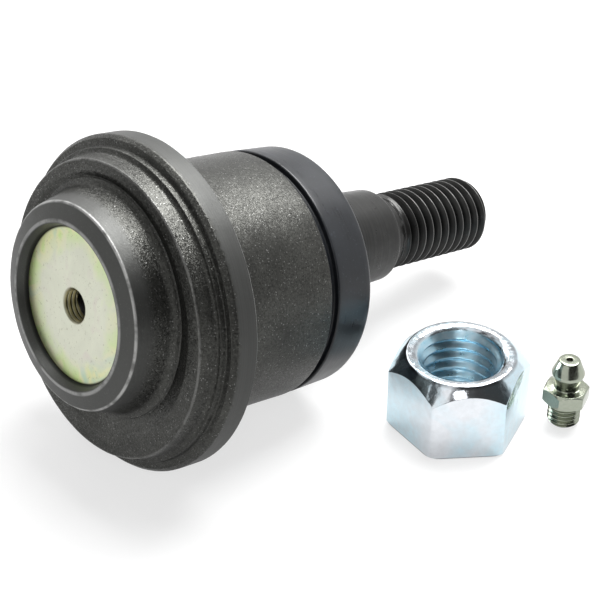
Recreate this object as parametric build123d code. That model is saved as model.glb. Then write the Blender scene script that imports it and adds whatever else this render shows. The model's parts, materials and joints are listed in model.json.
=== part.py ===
from build123d import *

import os
from math import acos, atan2, cos, degrees, hypot, radians, sin, sqrt, tan

# Press-in suspension ball joint with an offset socket, its stud nut and its
# grease fitting. Millimetres.
#
# Each ball joint piece is drawn upright in the joint's own frame: Z runs along
# the press axis from the nose's crest to the stud, and the socket axis lies
# SOCKET_OFFSET to the -X side of it. place_joint() then lays the joint on its
# flange and its boot, with the stud along +X. The nut and the fitting are drawn
# about Z and stand upright beside the stud.

# --- Ball and bearings: the sizes that the rest grows from -------------------
BALL_DIAMETER = 27.0
BALL_FLAT_DIAMETER = 7.0
BEARING_WALL = 1.95
BEARING_SPLIT = 0.6
RACE_BACK = 3.0
RACE_LIP_DIAMETER = 21.8
RACE_LAND = 0.9
RACE_FLARE = 0.5
GREASE_HOLE_DIAMETER = 4.0
SOCKET_OFFSET = 2.0
SOCKET_TURN = 25.0

# --- Preload spring ---------------------------------------------------------
SPRING_SIDE_GAP = 2.0
SPRING_RADIAL_WIDTH = 6.5
SPRING_THICKNESS = 1.1
SPRING_HEIGHT = 3.0

# --- Cover plate and its grease port ----------------------------------------
COVER_LEDGE = 1.3
COVER_DEPTH = 0.85
COVER_THICKNESS = 2.8
COVER_CHAMFER = 0.3
PORT_THREAD_DEPTH = 0.375
PORT_LEAD = 0.5

# --- Housing: nose, step, seat flange, barrel and spigot --------------------
NOSE_HEIGHT = 6.4
NOSE_WALL = 2.05
NOSE_FLARE = 2.1
NOSE_RIM_ROUND = 0.5
NOSE_ROOT_ROUND = 2.6
CRIMP_OVERLAP = 2.5
CRIMP_RISE = 1.1
CRIMP_BEVEL = 0.8
CRIMP_BEAD_WIDTH = 0.6
CRIMP_BEAD_ROUND = 0.35
STEP_HEIGHT = 4.4
STEP_LEDGE = 4.3
STEP_DRAFT = 0.5
STEP_EDGE_ROUND = 0.5
STEP_ROOT_ROUND = 1.6
FLANGE_THICKNESS = 5.4
FLANGE_LEDGE = 3.25
FLANGE_CORNER_WIDTH = 0.75
FLANGE_CORNER_ROUND = 0.9
FLANGE_REAR_CHAMFER = 0.3
BARREL_LENGTH = 24.8
BARREL_WALL = 6.5
BARREL_CHAMFER = 0.6
SPIGOT_LENGTH = 3.0
SPIGOT_WALL = 3.0
MOUTH_FLARE = 3.6
BALL_TO_BARREL_END = 14.0

# --- Stud, from the ball centre outwards ------------------------------------
NECK_DIAMETER = 15.2
NECK_LENGTH = 18.0
NECK_FLARE_LENGTH = 4.5
BOOT_SEAT_DIAMETER = 18.8
SHOULDER_STEP = 0.9
TAPER_LARGE_DIAMETER = 20.8
TAPER_SMALL_DIAMETER = 19.0
TAPER_LENGTH = 16.0
SHOULDER_ROUND = 2.6
SHOULDER_END_LENGTH = 3.3
RUNOUT_LENGTH = 3.0
RUNOUT_STEP = 0.35
THREAD_DIAMETER = 15.875
THREAD_LENGTH = 25.6
THREAD_END_CHAMFER = 1.3
CENTRE_HOLE_DIAMETER = 3.2

# --- Boot: steel insert, outer ring, skirt, lip and garter spring -----------
INSERT_WALL = 0.9
INSERT_HEIGHT = 3.8
INSERT_FLANGE_WIDTH = 1.1
BOOT_RELIEF = 0.2
BOOT_SKIN = 0.7
BOOT_GROOVE_WIDTH = 1.35
BOOT_GROOVE_DEPTH = 1.2
BOOT_RING_LENGTH = 9.0
BOOT_RING_DRAFT = 0.35
BOOT_REAR_ROUND = 1.0
BOOT_FRONT_ROUND = 0.3
SKIRT_WALL = 1.2
SKIRT_CLEARANCE = 2.0
SKIRT_KNEE_RISE = 3.4
SKIRT_KNEE_WIDTH = 1.5
SKIRT_EYE_WIDTH = 1.5
LIP_WALL = 1.8
LIP_LENGTH = 4.4
LIP_MARGIN = 0.6
LIP_FLANGE_WIDTH = 0.4
LIP_FLANGE_THICKNESS = 1.2
GARTER_WIRE = 1.0
GARTER_HEIGHT = 1.6

# --- Nut --------------------------------------------------------------------
NUT_ACROSS_FLATS = 23.81
NUT_HEIGHT = 16.0
NUT_THREAD_DEPTH = 1.0375
NUT_SINK_WIDTH = 1.8
NUT_TOP_LAND = 1.75
NUT_TOP_BEVEL = 49.0
NUT_BASE_INSET = 0.75
NUT_BASE_BEVEL = 35.0

# --- Grease fitting, from its thread end up ---------------------------------
FITTING_THREAD_DIAMETER = 6.35
FITTING_THREAD_LENGTH = 5.2
FITTING_END_CHAMFER = 0.9
FITTING_ACROSS_FLATS = 7.94
FITTING_HEX_HEIGHT = 3.2
FITTING_HEX_INSET = 0.17
FITTING_HEX_BEVEL = 30.0
FITTING_NECK_HEIGHT = 1.0
FITTING_HEAD_DIAMETER = 6.5
FITTING_HEAD_HEIGHT = 5.4
FITTING_HEAD_CONE = 3.0
FITTING_HEAD_ROUND = 1.0
FITTING_HEAD_UNDERCUT = 0.95
FITTING_TIP_DIAMETER = 4.0
FITTING_TIP_ROUND = 0.4
FITTING_ORIFICE = 1.2
FITTING_ORIFICE_DEPTH = 1.0
FITTING_CRIMP_HEIGHT = 0.5
FITTING_CRIMP_WIDTH = 0.65
CHECK_BALL_DIAMETER = 2.2
CHECK_BALL_WAY = 0.25
CHECK_SPRING_WAY = 0.35
CHECK_SPRING_WIRE = 0.35
CHECK_SPRING_TURNS = 4

# --- Clearances -------------------------------------------------------------
RUNNING_CLEARANCE = 0.05
RECESS_CLEARANCE = 0.05
RUBBER_GAP = 0.3
LIP_GAP = 0.1
SEAT_GAP = 0.02

# --- Places on the floor, from the point above which the press axis starts ---
NUT_X = 61.7
NUT_Y = -36.7
NUT_TURN = -7.5
FITTING_X = 76.7
FITTING_Y = -50.9
FITTING_TURN = -6.9

# --- Diameters, derived -----------------------------------------------------
BEARING_BALL_DIAMETER = BALL_DIAMETER + 2 * RUNNING_CLEARANCE
BORE_DIAMETER = BEARING_BALL_DIAMETER + 2 * BEARING_WALL
SPRING_OUTER_DIAMETER = BORE_DIAMETER - 2 * SPRING_SIDE_GAP
SPRING_INNER_DIAMETER = SPRING_OUTER_DIAMETER - 2 * SPRING_RADIAL_WIDTH
COVER_DIAMETER = BORE_DIAMETER + 2 * COVER_LEDGE
CRIMP_OPENING = COVER_DIAMETER - 2 * CRIMP_OVERLAP
CRIMP_MOUTH_DIAMETER = CRIMP_OPENING + 2 * CRIMP_BEVEL
CRIMP_BEAD_DIAMETER = CRIMP_MOUTH_DIAMETER + 2 * CRIMP_BEAD_WIDTH
NOSE_DIAMETER = COVER_DIAMETER + 2 * (RECESS_CLEARANCE + NOSE_WALL)
NOSE_ROOT_DIAMETER = NOSE_DIAMETER + 2 * NOSE_FLARE
NOSE_FOOT_DIAMETER = NOSE_ROOT_DIAMETER + 2 * NOSE_ROOT_ROUND
STEP_DIAMETER = NOSE_ROOT_DIAMETER + 2 * (SOCKET_OFFSET + STEP_LEDGE)
STEP_ROOT_DIAMETER = STEP_DIAMETER + 2 * STEP_DRAFT
FLANGE_DIAMETER = STEP_ROOT_DIAMETER + 2 * FLANGE_LEDGE
FLANGE_FRONT_DIAMETER = FLANGE_DIAMETER - 2 * FLANGE_CORNER_WIDTH
BARREL_DIAMETER = BORE_DIAMETER + 2 * (SOCKET_OFFSET + BARREL_WALL)
MOUTH_THROAT_DIAMETER = RACE_LIP_DIAMETER + 2 * RACE_FLARE
MOUTH_END_DIAMETER = MOUTH_THROAT_DIAMETER + 2 * MOUTH_FLARE
SPIGOT_DIAMETER = MOUTH_END_DIAMETER + 2 * (SOCKET_OFFSET + SPIGOT_WALL)
PORT_DIAMETER = FITTING_THREAD_DIAMETER - 2 * PORT_THREAD_DEPTH
PORT_COUNTERSINK = PORT_DIAMETER + 2 * PORT_LEAD
RUNOUT_DIAMETER = THREAD_DIAMETER - 2 * RUNOUT_STEP
INSERT_DIAMETER = SPIGOT_DIAMETER + 2 * INSERT_WALL
INSERT_FLANGE_DIAMETER = INSERT_DIAMETER + 2 * INSERT_FLANGE_WIDTH
BOOT_RING_BORE = INSERT_DIAMETER + 2 * BOOT_RELIEF
BOOT_GROOVE_DIAMETER = INSERT_FLANGE_DIAMETER + 2 * BOOT_SKIN
BOOT_RING_DIAMETER = BOOT_GROOVE_DIAMETER + 2 * BOOT_GROOVE_DEPTH
BOOT_RING_REAR_DIAMETER = BOOT_RING_DIAMETER - 2 * BOOT_RING_DRAFT
LIP_BORE = BOOT_SEAT_DIAMETER + 2 * LIP_GAP
LIP_DIAMETER = LIP_BORE + 2 * LIP_WALL
LIP_FLANGE_DIAMETER = LIP_DIAMETER + 2 * LIP_FLANGE_WIDTH
SKIRT_RIM_DIAMETER = BOOT_RING_BORE - 2 * RUBBER_GAP
SKIRT_EYE_DIAMETER = LIP_FLANGE_DIAMETER + 2 * (RUBBER_GAP + SKIRT_EYE_WIDTH)
SKIRT_KNEE_DIAMETER = SKIRT_EYE_DIAMETER + 2 * SKIRT_KNEE_WIDTH
NUT_BORE = THREAD_DIAMETER - 2 * NUT_THREAD_DEPTH
NUT_COUNTERSINK = NUT_BORE + 2 * NUT_SINK_WIDTH
NUT_TOP_DIAMETER = NUT_COUNTERSINK + 2 * NUT_TOP_LAND
NUT_CORNER_DIAMETER = NUT_ACROSS_FLATS / cos(radians(30))
NUT_BASE_DIAMETER = NUT_CORNER_DIAMETER - 2 * NUT_BASE_INSET
FITTING_HEX_FACE = FITTING_ACROSS_FLATS - 2 * FITTING_HEX_INSET
FITTING_NECK_DIAMETER = FITTING_HEAD_DIAMETER - 2 * FITTING_HEAD_UNDERCUT
FITTING_BORE = CHECK_BALL_DIAMETER + 2 * CHECK_BALL_WAY
FITTING_CRIMP_BORE = FITTING_BORE - 2 * FITTING_CRIMP_WIDTH
CHECK_SPRING_DIAMETER = FITTING_BORE - 2 * CHECK_SPRING_WAY

# --- Stations along the axis, derived ---------------------------------------
STEP_FACE_Z = NOSE_HEIGHT
FLANGE_FRONT_Z = STEP_FACE_Z + STEP_HEIGHT
FLANGE_REAR_Z = FLANGE_FRONT_Z + FLANGE_THICKNESS
BARREL_END_Z = FLANGE_REAR_Z + BARREL_LENGTH
SPIGOT_END_Z = BARREL_END_Z + SPIGOT_LENGTH
BALL_Z = BARREL_END_Z - BALL_TO_BARREL_END
COVER_TOP_Z = COVER_DEPTH
COVER_BASE_Z = COVER_TOP_Z + COVER_THICKNESS
LOWER_BEARING_Z = COVER_BASE_Z + SPRING_HEIGHT
UPPER_BEARING_Z = BALL_Z - RACE_BACK
RACE_LIP_Z = BALL_Z + sqrt(BEARING_BALL_DIAMETER ** 2 - RACE_LIP_DIAMETER ** 2) / 2
RACE_END_Z = RACE_LIP_Z + RACE_LAND
BOOT_SEAT_Z = BALL_Z + NECK_LENGTH + NECK_FLARE_LENGTH
LIP_Z = BOOT_SEAT_Z + LIP_MARGIN
LIP_END_Z = LIP_Z + LIP_LENGTH
BOOT_SEAT_END_Z = LIP_END_Z + LIP_MARGIN
TAPER_Z = BOOT_SEAT_END_Z + SHOULDER_STEP
TAPER_END_Z = TAPER_Z + TAPER_LENGTH
RUNOUT_Z = TAPER_END_Z + SHOULDER_END_LENGTH
THREAD_Z = RUNOUT_Z + RUNOUT_LENGTH
STUD_END_Z = THREAD_Z + THREAD_LENGTH
BOOT_RING_Z = BARREL_END_Z + BOOT_GROOVE_WIDTH
BOOT_REAR_Z = BOOT_RING_Z + BOOT_RING_LENGTH
SKIRT_RIM_Z = SPIGOT_END_Z + SKIRT_CLEARANCE
SKIRT_KNEE_Z = SKIRT_RIM_Z + SKIRT_KNEE_RISE
SKIRT_EYE_Z = LIP_END_Z - LIP_FLANGE_THICKNESS
FITTING_HEX_Z = FITTING_THREAD_LENGTH
FITTING_NECK_Z = FITTING_HEX_Z + FITTING_HEX_HEIGHT
FITTING_HEAD_Z = FITTING_NECK_Z + FITTING_NECK_HEIGHT
FITTING_TOP_Z = FITTING_HEAD_Z + FITTING_HEAD_HEIGHT
BALL_SEAT_Z = FITTING_TOP_Z - FITTING_ORIFICE_DEPTH
BALL_SEAT_RISE = (FITTING_BORE - FITTING_ORIFICE) / 2

PRESS_AXIS = Pos(0, 0, 0)
SOCKET_AXIS = Pos(-SOCKET_OFFSET, 0, 0)
KNEE_AXIS = Pos(-SOCKET_OFFSET / 2, 0, 0)


def turned(*corners):
    """Solid of revolution about Z; a corner is (diameter, height) or (diameter, height, round)."""
    points = [(corner[0] / 2, corner[1]) for corner in corners]
    rounds = [corner[2] if len(corner) > 2 else 0 for corner in corners]
    outline = FilletPolyline(*points, radius=rounds, close=True)
    return revolve(make_face(Plane.XZ * outline), Axis.Z)


def frustum(low_axis, low_diameter, low_z, high_axis, high_diameter, high_z):
    """Cone between two level circles that need not share an axis."""
    low = low_axis * Pos(0, 0, low_z) * Circle(low_diameter / 2)
    high = high_axis * Pos(0, 0, high_z) * Circle(high_diameter / 2)
    return loft([low, high], ruled=True)


def ball(diameter, height):
    """Sphere centred on Z at a height."""
    return Pos(0, 0, height) * Sphere(diameter / 2)


# --- Housing ----------------------------------------------------------------
def nose():
    """Tapered nose, its rim rolled up into a bead, with a root that flows onto the step face."""
    return SOCKET_AXIS * turned(
        (0, -CRIMP_RISE),
        (CRIMP_BEAD_DIAMETER, -CRIMP_RISE, CRIMP_BEAD_ROUND),
        (NOSE_DIAMETER, 0, NOSE_RIM_ROUND),
        (NOSE_ROOT_DIAMETER, STEP_FACE_Z, NOSE_ROOT_ROUND),
        (NOSE_FOOT_DIAMETER, STEP_FACE_Z),
        (NOSE_FOOT_DIAMETER, FLANGE_FRONT_Z),
        (0, FLANGE_FRONT_Z),
    )


def flanged_barrel():
    """Step, seat flange, press barrel and boot spigot."""
    return turned(
        (0, STEP_FACE_Z),
        (STEP_DIAMETER, STEP_FACE_Z, STEP_EDGE_ROUND),
        (STEP_ROOT_DIAMETER, FLANGE_FRONT_Z, STEP_ROOT_ROUND),
        (FLANGE_FRONT_DIAMETER, FLANGE_FRONT_Z),
        (FLANGE_DIAMETER, FLANGE_FRONT_Z + FLANGE_CORNER_ROUND, FLANGE_CORNER_ROUND),
        (FLANGE_DIAMETER, FLANGE_REAR_Z - FLANGE_REAR_CHAMFER),
        (FLANGE_DIAMETER - 2 * FLANGE_REAR_CHAMFER, FLANGE_REAR_Z),
        (BARREL_DIAMETER, FLANGE_REAR_Z),
        (BARREL_DIAMETER, BARREL_END_Z - BARREL_CHAMFER),
        (BARREL_DIAMETER - 2 * BARREL_CHAMFER, BARREL_END_Z),
        (SPIGOT_DIAMETER, BARREL_END_Z),
        (SPIGOT_DIAMETER, SPIGOT_END_Z),
        (0, SPIGOT_END_Z),
    )


def socket_cavity():
    """Crimped cover recess, bearing bore and the flared mouth that the stud swings in."""
    recess = COVER_DIAMETER + 2 * RECESS_CLEARANCE
    below = -2 * CRIMP_RISE
    beyond = SPIGOT_END_Z + SPIGOT_LENGTH
    flare = (MOUTH_END_DIAMETER - MOUTH_THROAT_DIAMETER) / (SPIGOT_END_Z - RACE_END_Z)
    return SOCKET_AXIS * turned(
        (0, below),
        (CRIMP_MOUTH_DIAMETER, below),
        (CRIMP_MOUTH_DIAMETER, -CRIMP_RISE),
        (CRIMP_OPENING, COVER_TOP_Z),
        (recess, COVER_TOP_Z),
        (recess, COVER_BASE_Z),
        (BORE_DIAMETER, COVER_BASE_Z),
        (BORE_DIAMETER, RACE_END_Z),
        (MOUTH_THROAT_DIAMETER, RACE_END_Z),
        (MOUTH_END_DIAMETER + flare * (beyond - SPIGOT_END_Z), beyond),
        (0, beyond),
    )


def housing():
    return nose() + flanged_barrel() - socket_cavity()


def cover_plate():
    """Pressed disc with the threaded grease port in its middle."""
    disc = turned(
        (0, COVER_TOP_Z),
        (COVER_DIAMETER - 2 * COVER_CHAMFER, COVER_TOP_Z),
        (COVER_DIAMETER, COVER_TOP_Z + COVER_CHAMFER),
        (COVER_DIAMETER, COVER_BASE_Z - COVER_CHAMFER),
        (COVER_DIAMETER - 2 * COVER_CHAMFER, COVER_BASE_Z),
        (0, COVER_BASE_Z),
    )
    port = turned(
        (0, COVER_TOP_Z),
        (PORT_COUNTERSINK, COVER_TOP_Z),
        (PORT_DIAMETER, COVER_TOP_Z + PORT_LEAD),
        (PORT_DIAMETER, COVER_BASE_Z),
        (0, COVER_BASE_Z),
    )
    return SOCKET_AXIS * (disc - port)


# --- Bearings and preload ---------------------------------------------------
def preload_spring():
    """Disc spring: its rim bears on the cover plate and its inner edge on the lower bearing."""
    rise = SPRING_HEIGHT - SPRING_THICKNESS
    return SOCKET_AXIS * turned(
        (SPRING_OUTER_DIAMETER, COVER_BASE_Z),
        (SPRING_OUTER_DIAMETER, COVER_BASE_Z + SPRING_THICKNESS),
        (SPRING_INNER_DIAMETER, COVER_BASE_Z + SPRING_THICKNESS + rise),
        (SPRING_INNER_DIAMETER, COVER_BASE_Z + rise),
    )


def lower_bearing():
    """Pressure seat under the ball, with a grease hole through its floor."""
    body = turned(
        (GREASE_HOLE_DIAMETER, LOWER_BEARING_Z),
        (BORE_DIAMETER - 2 * RUNNING_CLEARANCE, LOWER_BEARING_Z),
        (BORE_DIAMETER - 2 * RUNNING_CLEARANCE, UPPER_BEARING_Z - BEARING_SPLIT),
        (GREASE_HOLE_DIAMETER, UPPER_BEARING_Z - BEARING_SPLIT),
    )
    return SOCKET_AXIS * (body - ball(BEARING_BALL_DIAMETER, BALL_Z))


def upper_bearing():
    """Race on the stud side of the ball, pressed to the bottom of the bore."""
    body = turned(
        (0, UPPER_BEARING_Z),
        (BORE_DIAMETER, UPPER_BEARING_Z),
        (BORE_DIAMETER, RACE_END_Z),
        (0, RACE_END_Z),
    )
    opening = turned(
        (0, BALL_Z),
        (RACE_LIP_DIAMETER, BALL_Z),
        (RACE_LIP_DIAMETER, RACE_LIP_Z),
        (MOUTH_THROAT_DIAMETER, RACE_END_Z),
        (0, RACE_END_Z),
    )
    return SOCKET_AXIS * (body - ball(BEARING_BALL_DIAMETER, BALL_Z) - opening)


# --- Ball stud --------------------------------------------------------------
def shank():
    """Neck, boot seat, tapered shoulder and threaded end, from the ball centre out."""
    return turned(
        (0, BALL_Z),
        (NECK_DIAMETER, BALL_Z),
        (NECK_DIAMETER, BALL_Z + NECK_LENGTH),
        (BOOT_SEAT_DIAMETER, BOOT_SEAT_Z),
        (BOOT_SEAT_DIAMETER, BOOT_SEAT_END_Z),
        (TAPER_LARGE_DIAMETER, TAPER_Z),
        (TAPER_SMALL_DIAMETER, TAPER_END_Z, SHOULDER_ROUND),
        (RUNOUT_DIAMETER, RUNOUT_Z),
        (RUNOUT_DIAMETER, THREAD_Z),
        (THREAD_DIAMETER, THREAD_Z + RUNOUT_STEP),
        (THREAD_DIAMETER, STUD_END_Z - THREAD_END_CHAMFER),
        (THREAD_DIAMETER - 2 * THREAD_END_CHAMFER, STUD_END_Z),
        (CENTRE_HOLE_DIAMETER, STUD_END_Z),
        (0, STUD_END_Z - CENTRE_HOLE_DIAMETER / 2),
    )


def ball_stud():
    """One forging: the ball, flattened underneath, and its shank."""
    flat_height = sqrt(BALL_DIAMETER ** 2 - BALL_FLAT_DIAMETER ** 2) / 2
    under_z = BALL_Z - flat_height - BALL_DIAMETER / 2
    under = Pos(0, 0, under_z) * Box(BALL_DIAMETER, BALL_DIAMETER, BALL_DIAMETER)
    return SOCKET_AXIS * (ball(BALL_DIAMETER, BALL_Z) + shank() - under)


# --- Boot -------------------------------------------------------------------
def boot_insert_ring():
    """Steel ring moulded into the boot, pressed over the housing's spigot."""
    top = BARREL_END_Z + INSERT_HEIGHT
    return turned(
        (SPIGOT_DIAMETER, BARREL_END_Z),
        (INSERT_DIAMETER, BARREL_END_Z),
        (INSERT_DIAMETER, top - INSERT_WALL),
        (INSERT_FLANGE_DIAMETER, top - INSERT_WALL),
        (INSERT_FLANGE_DIAMETER, top),
        (SPIGOT_DIAMETER, top),
    )


def boot_base():
    """Outer rubber ring, with a narrow groove against the barrel."""
    ring = turned(
        (BOOT_RING_BORE, BARREL_END_Z),
        (BOOT_GROOVE_DIAMETER, BARREL_END_Z),
        (BOOT_GROOVE_DIAMETER, BOOT_RING_Z),
        (BOOT_RING_DIAMETER, BOOT_RING_Z, BOOT_FRONT_ROUND),
        (BOOT_RING_REAR_DIAMETER, BOOT_REAR_Z, BOOT_REAR_ROUND),
        (BOOT_RING_BORE, BOOT_REAR_Z, BOOT_REAR_ROUND),
    )
    return ring - boot_insert_ring()


def skirt_leg(low_axis, low_diameter, low_z, high_axis, high_diameter, high_z):
    """Conical wall of the skirt; the diameters are those of its outer face."""
    slope = atan2(high_z - low_z, (low_diameter - high_diameter) / 2)
    across = 2 * SKIRT_WALL / sin(slope)
    outside = frustum(low_axis, low_diameter, low_z, high_axis, high_diameter, high_z)
    inside = frustum(low_axis, low_diameter - across, low_z, high_axis, high_diameter - across, high_z)
    return outside - inside


def boot_bellows():
    """Skirt from the outer ring, on the press axis, over a knee to the lip, on the socket axis."""
    rim = PRESS_AXIS, SKIRT_RIM_DIAMETER, SKIRT_RIM_Z
    knee = KNEE_AXIS, SKIRT_KNEE_DIAMETER, SKIRT_KNEE_Z
    eye = SOCKET_AXIS, SKIRT_EYE_DIAMETER, SKIRT_EYE_Z
    return skirt_leg(*rim, *knee) + skirt_leg(*knee, *eye)


def garter(clearance=0.0):
    """Ring of spring wire round the lip."""
    track = (LIP_DIAMETER - GARTER_WIRE / 2) / 2
    return SOCKET_AXIS * Pos(0, 0, LIP_Z + GARTER_HEIGHT) * Torus(track, GARTER_WIRE / 2 + clearance)


def boot_garter_spring():
    return garter()


def boot_lip():
    """Sealing lip on the stud's boot seat, with a groove for the garter spring."""
    flange_z = LIP_END_Z - LIP_FLANGE_THICKNESS
    lip = SOCKET_AXIS * turned(
        (LIP_BORE, LIP_Z),
        (LIP_DIAMETER, LIP_Z),
        (LIP_DIAMETER, flange_z),
        (LIP_FLANGE_DIAMETER, flange_z),
        (LIP_FLANGE_DIAMETER, LIP_END_Z),
        (LIP_BORE, LIP_END_Z),
    )
    return lip - garter(SEAT_GAP)


# --- Nut --------------------------------------------------------------------
def hexagon(across_flats, height):
    """Hexagonal bar standing on Z = 0, one flat facing +X."""
    return extrude(RegularPolygon(across_flats / 2, 6, major_radius=False, rotation=30), height)


def hex_nut():
    """Stud nut, with a deep bevel above and a light one below."""
    top_drop = (NUT_CORNER_DIAMETER - NUT_TOP_DIAMETER) / 2 * tan(radians(NUT_TOP_BEVEL))
    base_rise = NUT_BASE_INSET * tan(radians(NUT_BASE_BEVEL))
    envelope = turned(
        (NUT_BORE, NUT_SINK_WIDTH),
        (NUT_COUNTERSINK, 0),
        (NUT_BASE_DIAMETER, 0),
        (NUT_CORNER_DIAMETER, base_rise),
        (NUT_CORNER_DIAMETER, NUT_HEIGHT - top_drop),
        (NUT_TOP_DIAMETER, NUT_HEIGHT),
        (NUT_COUNTERSINK, NUT_HEIGHT),
        (NUT_BORE, NUT_HEIGHT - NUT_SINK_WIDTH),
    )
    return hexagon(NUT_ACROSS_FLATS, NUT_HEIGHT) & envelope


# --- Grease fitting ---------------------------------------------------------
def fitting_bore():
    """Grease way: crimped foot, spring bore, coned ball seat and the head's orifice."""
    return turned(
        (0, 0),
        (FITTING_CRIMP_BORE, 0),
        (FITTING_CRIMP_BORE, FITTING_CRIMP_HEIGHT),
        (FITTING_BORE, FITTING_CRIMP_HEIGHT),
        (FITTING_BORE, BALL_SEAT_Z - BALL_SEAT_RISE),
        (FITTING_ORIFICE, BALL_SEAT_Z),
        (FITTING_ORIFICE, FITTING_TOP_Z),
        (0, FITTING_TOP_Z),
    )


def grease_fitting_body():
    """Straight grease fitting: coupler head, neck, hexagon and threaded end."""
    waist_z = FITTING_TOP_Z - FITTING_HEAD_CONE
    outside = turned(
        (0, 0),
        (FITTING_THREAD_DIAMETER - 2 * FITTING_END_CHAMFER, 0),
        (FITTING_THREAD_DIAMETER, FITTING_END_CHAMFER),
        (FITTING_THREAD_DIAMETER, FITTING_HEX_Z),
        (FITTING_NECK_DIAMETER, FITTING_NECK_Z),
        (FITTING_NECK_DIAMETER, FITTING_HEAD_Z),
        (FITTING_HEAD_DIAMETER, waist_z, FITTING_HEAD_ROUND),
        (FITTING_TIP_DIAMETER, FITTING_TOP_Z, FITTING_TIP_ROUND),
        (0, FITTING_TOP_Z),
    )
    corner = FITTING_ACROSS_FLATS / cos(radians(30))
    bevel = (corner - FITTING_HEX_FACE) / 2 * tan(radians(FITTING_HEX_BEVEL))
    envelope = Pos(0, 0, FITTING_HEX_Z) * turned(
        (0, 0),
        (FITTING_HEX_FACE, 0),
        (corner, bevel),
        (corner, FITTING_HEX_HEIGHT - bevel),
        (FITTING_HEX_FACE, FITTING_HEX_HEIGHT),
        (0, FITTING_HEX_HEIGHT),
    )
    hexagonal = Pos(0, 0, FITTING_HEX_Z) * hexagon(FITTING_ACROSS_FLATS, FITTING_HEX_HEIGHT) & envelope
    return outside + hexagonal - fitting_bore()


def check_ball_height():
    """Height at which the ball touches its 45 degree seat."""
    return BALL_SEAT_Z + FITTING_ORIFICE / 2 - CHECK_BALL_DIAMETER / 2 * sqrt(2) - SEAT_GAP


def grease_fitting_ball():
    return ball(CHECK_BALL_DIAMETER, check_ball_height())


def grease_fitting_spring():
    """Coil that holds the check ball up against its seat."""
    low = FITTING_CRIMP_HEIGHT + CHECK_SPRING_WIRE / 2 + SEAT_GAP
    track = (CHECK_SPRING_DIAMETER - CHECK_SPRING_WIRE) / 2
    reach = (CHECK_BALL_DIAMETER + CHECK_SPRING_WIRE) / 2 + SEAT_GAP
    high = check_ball_height() - sqrt(reach ** 2 - track ** 2)
    path = Pos(0, 0, low) * Helix((high - low) / CHECK_SPRING_TURNS, high - low, track)
    section = Plane(origin=path @ 0, z_dir=path % 0) * Circle(CHECK_SPRING_WIRE / 2)
    return sweep(section, path)


# --- Laying out -------------------------------------------------------------
def rest_tilt():
    """Angle of the press axis when the joint lies on its flange and its boot, in degrees."""
    flange_r = FLANGE_DIAMETER / 2
    flange_z = FLANGE_REAR_Z - FLANGE_REAR_CHAMFER
    boot_r = BOOT_RING_REAR_DIAMETER / 2 - BOOT_REAR_ROUND
    boot_z = BOOT_REAR_Z - BOOT_REAR_ROUND
    reach = hypot(boot_z - flange_z, flange_r - boot_r)
    return degrees(acos(BOOT_REAR_ROUND / reach) - atan2(boot_z - flange_z, flange_r - boot_r))


def lie_down():
    """Press axis to its place over the floor, with the stud along +X."""
    tilt = radians(rest_tilt())
    flange_z = FLANGE_REAR_Z - FLANGE_REAR_CHAMFER
    height = flange_z * sin(tilt) + FLANGE_DIAMETER / 2 * cos(tilt)
    return Pos(0, 0, height) * Rot(0, 90 + rest_tilt(), 0)


def place_joint():
    """Joint frame to the floor: the socket axis is on the upper side, turned towards +Y."""
    return lie_down() * Rot(0, 0, -SOCKET_TURN)


JOINT_PIECES = [
    housing,
    cover_plate,
    preload_spring,
    lower_bearing,
    upper_bearing,
    ball_stud,
    boot_insert_ring,
    boot_base,
    boot_bellows,
    boot_lip,
    boot_garter_spring,
]
FITTING_PIECES = [grease_fitting_body, grease_fitting_ball, grease_fitting_spring]


def assembly():
    """Every piece by name, lying as a set, centred over the origin with its foot at Z = 0."""
    nut_place = Pos(NUT_X, NUT_Y, 0) * Rot(0, 0, NUT_TURN)
    fitting_place = Pos(FITTING_X, FITTING_Y, 0) * Rot(0, 0, FITTING_TURN)
    pieces = {piece.__name__: place_joint() * piece() for piece in JOINT_PIECES}
    pieces["hex_nut"] = nut_place * hex_nut()
    pieces.update({piece.__name__: fitting_place * piece() for piece in FITTING_PIECES})
    box = Compound(children=[Part() + piece for piece in pieces.values()]).bounding_box()
    centring = Pos(-(box.min.X + box.max.X) / 2, -(box.min.Y + box.max.Y) / 2, -box.min.Z)
    return {name: centring * piece for name, piece in pieces.items()}, centring


PIECES, CENTRING = assembly()
os.makedirs("parts", exist_ok=True)
for node, shape in PIECES.items():
    export_step(shape, f"parts/{node}.step")
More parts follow.
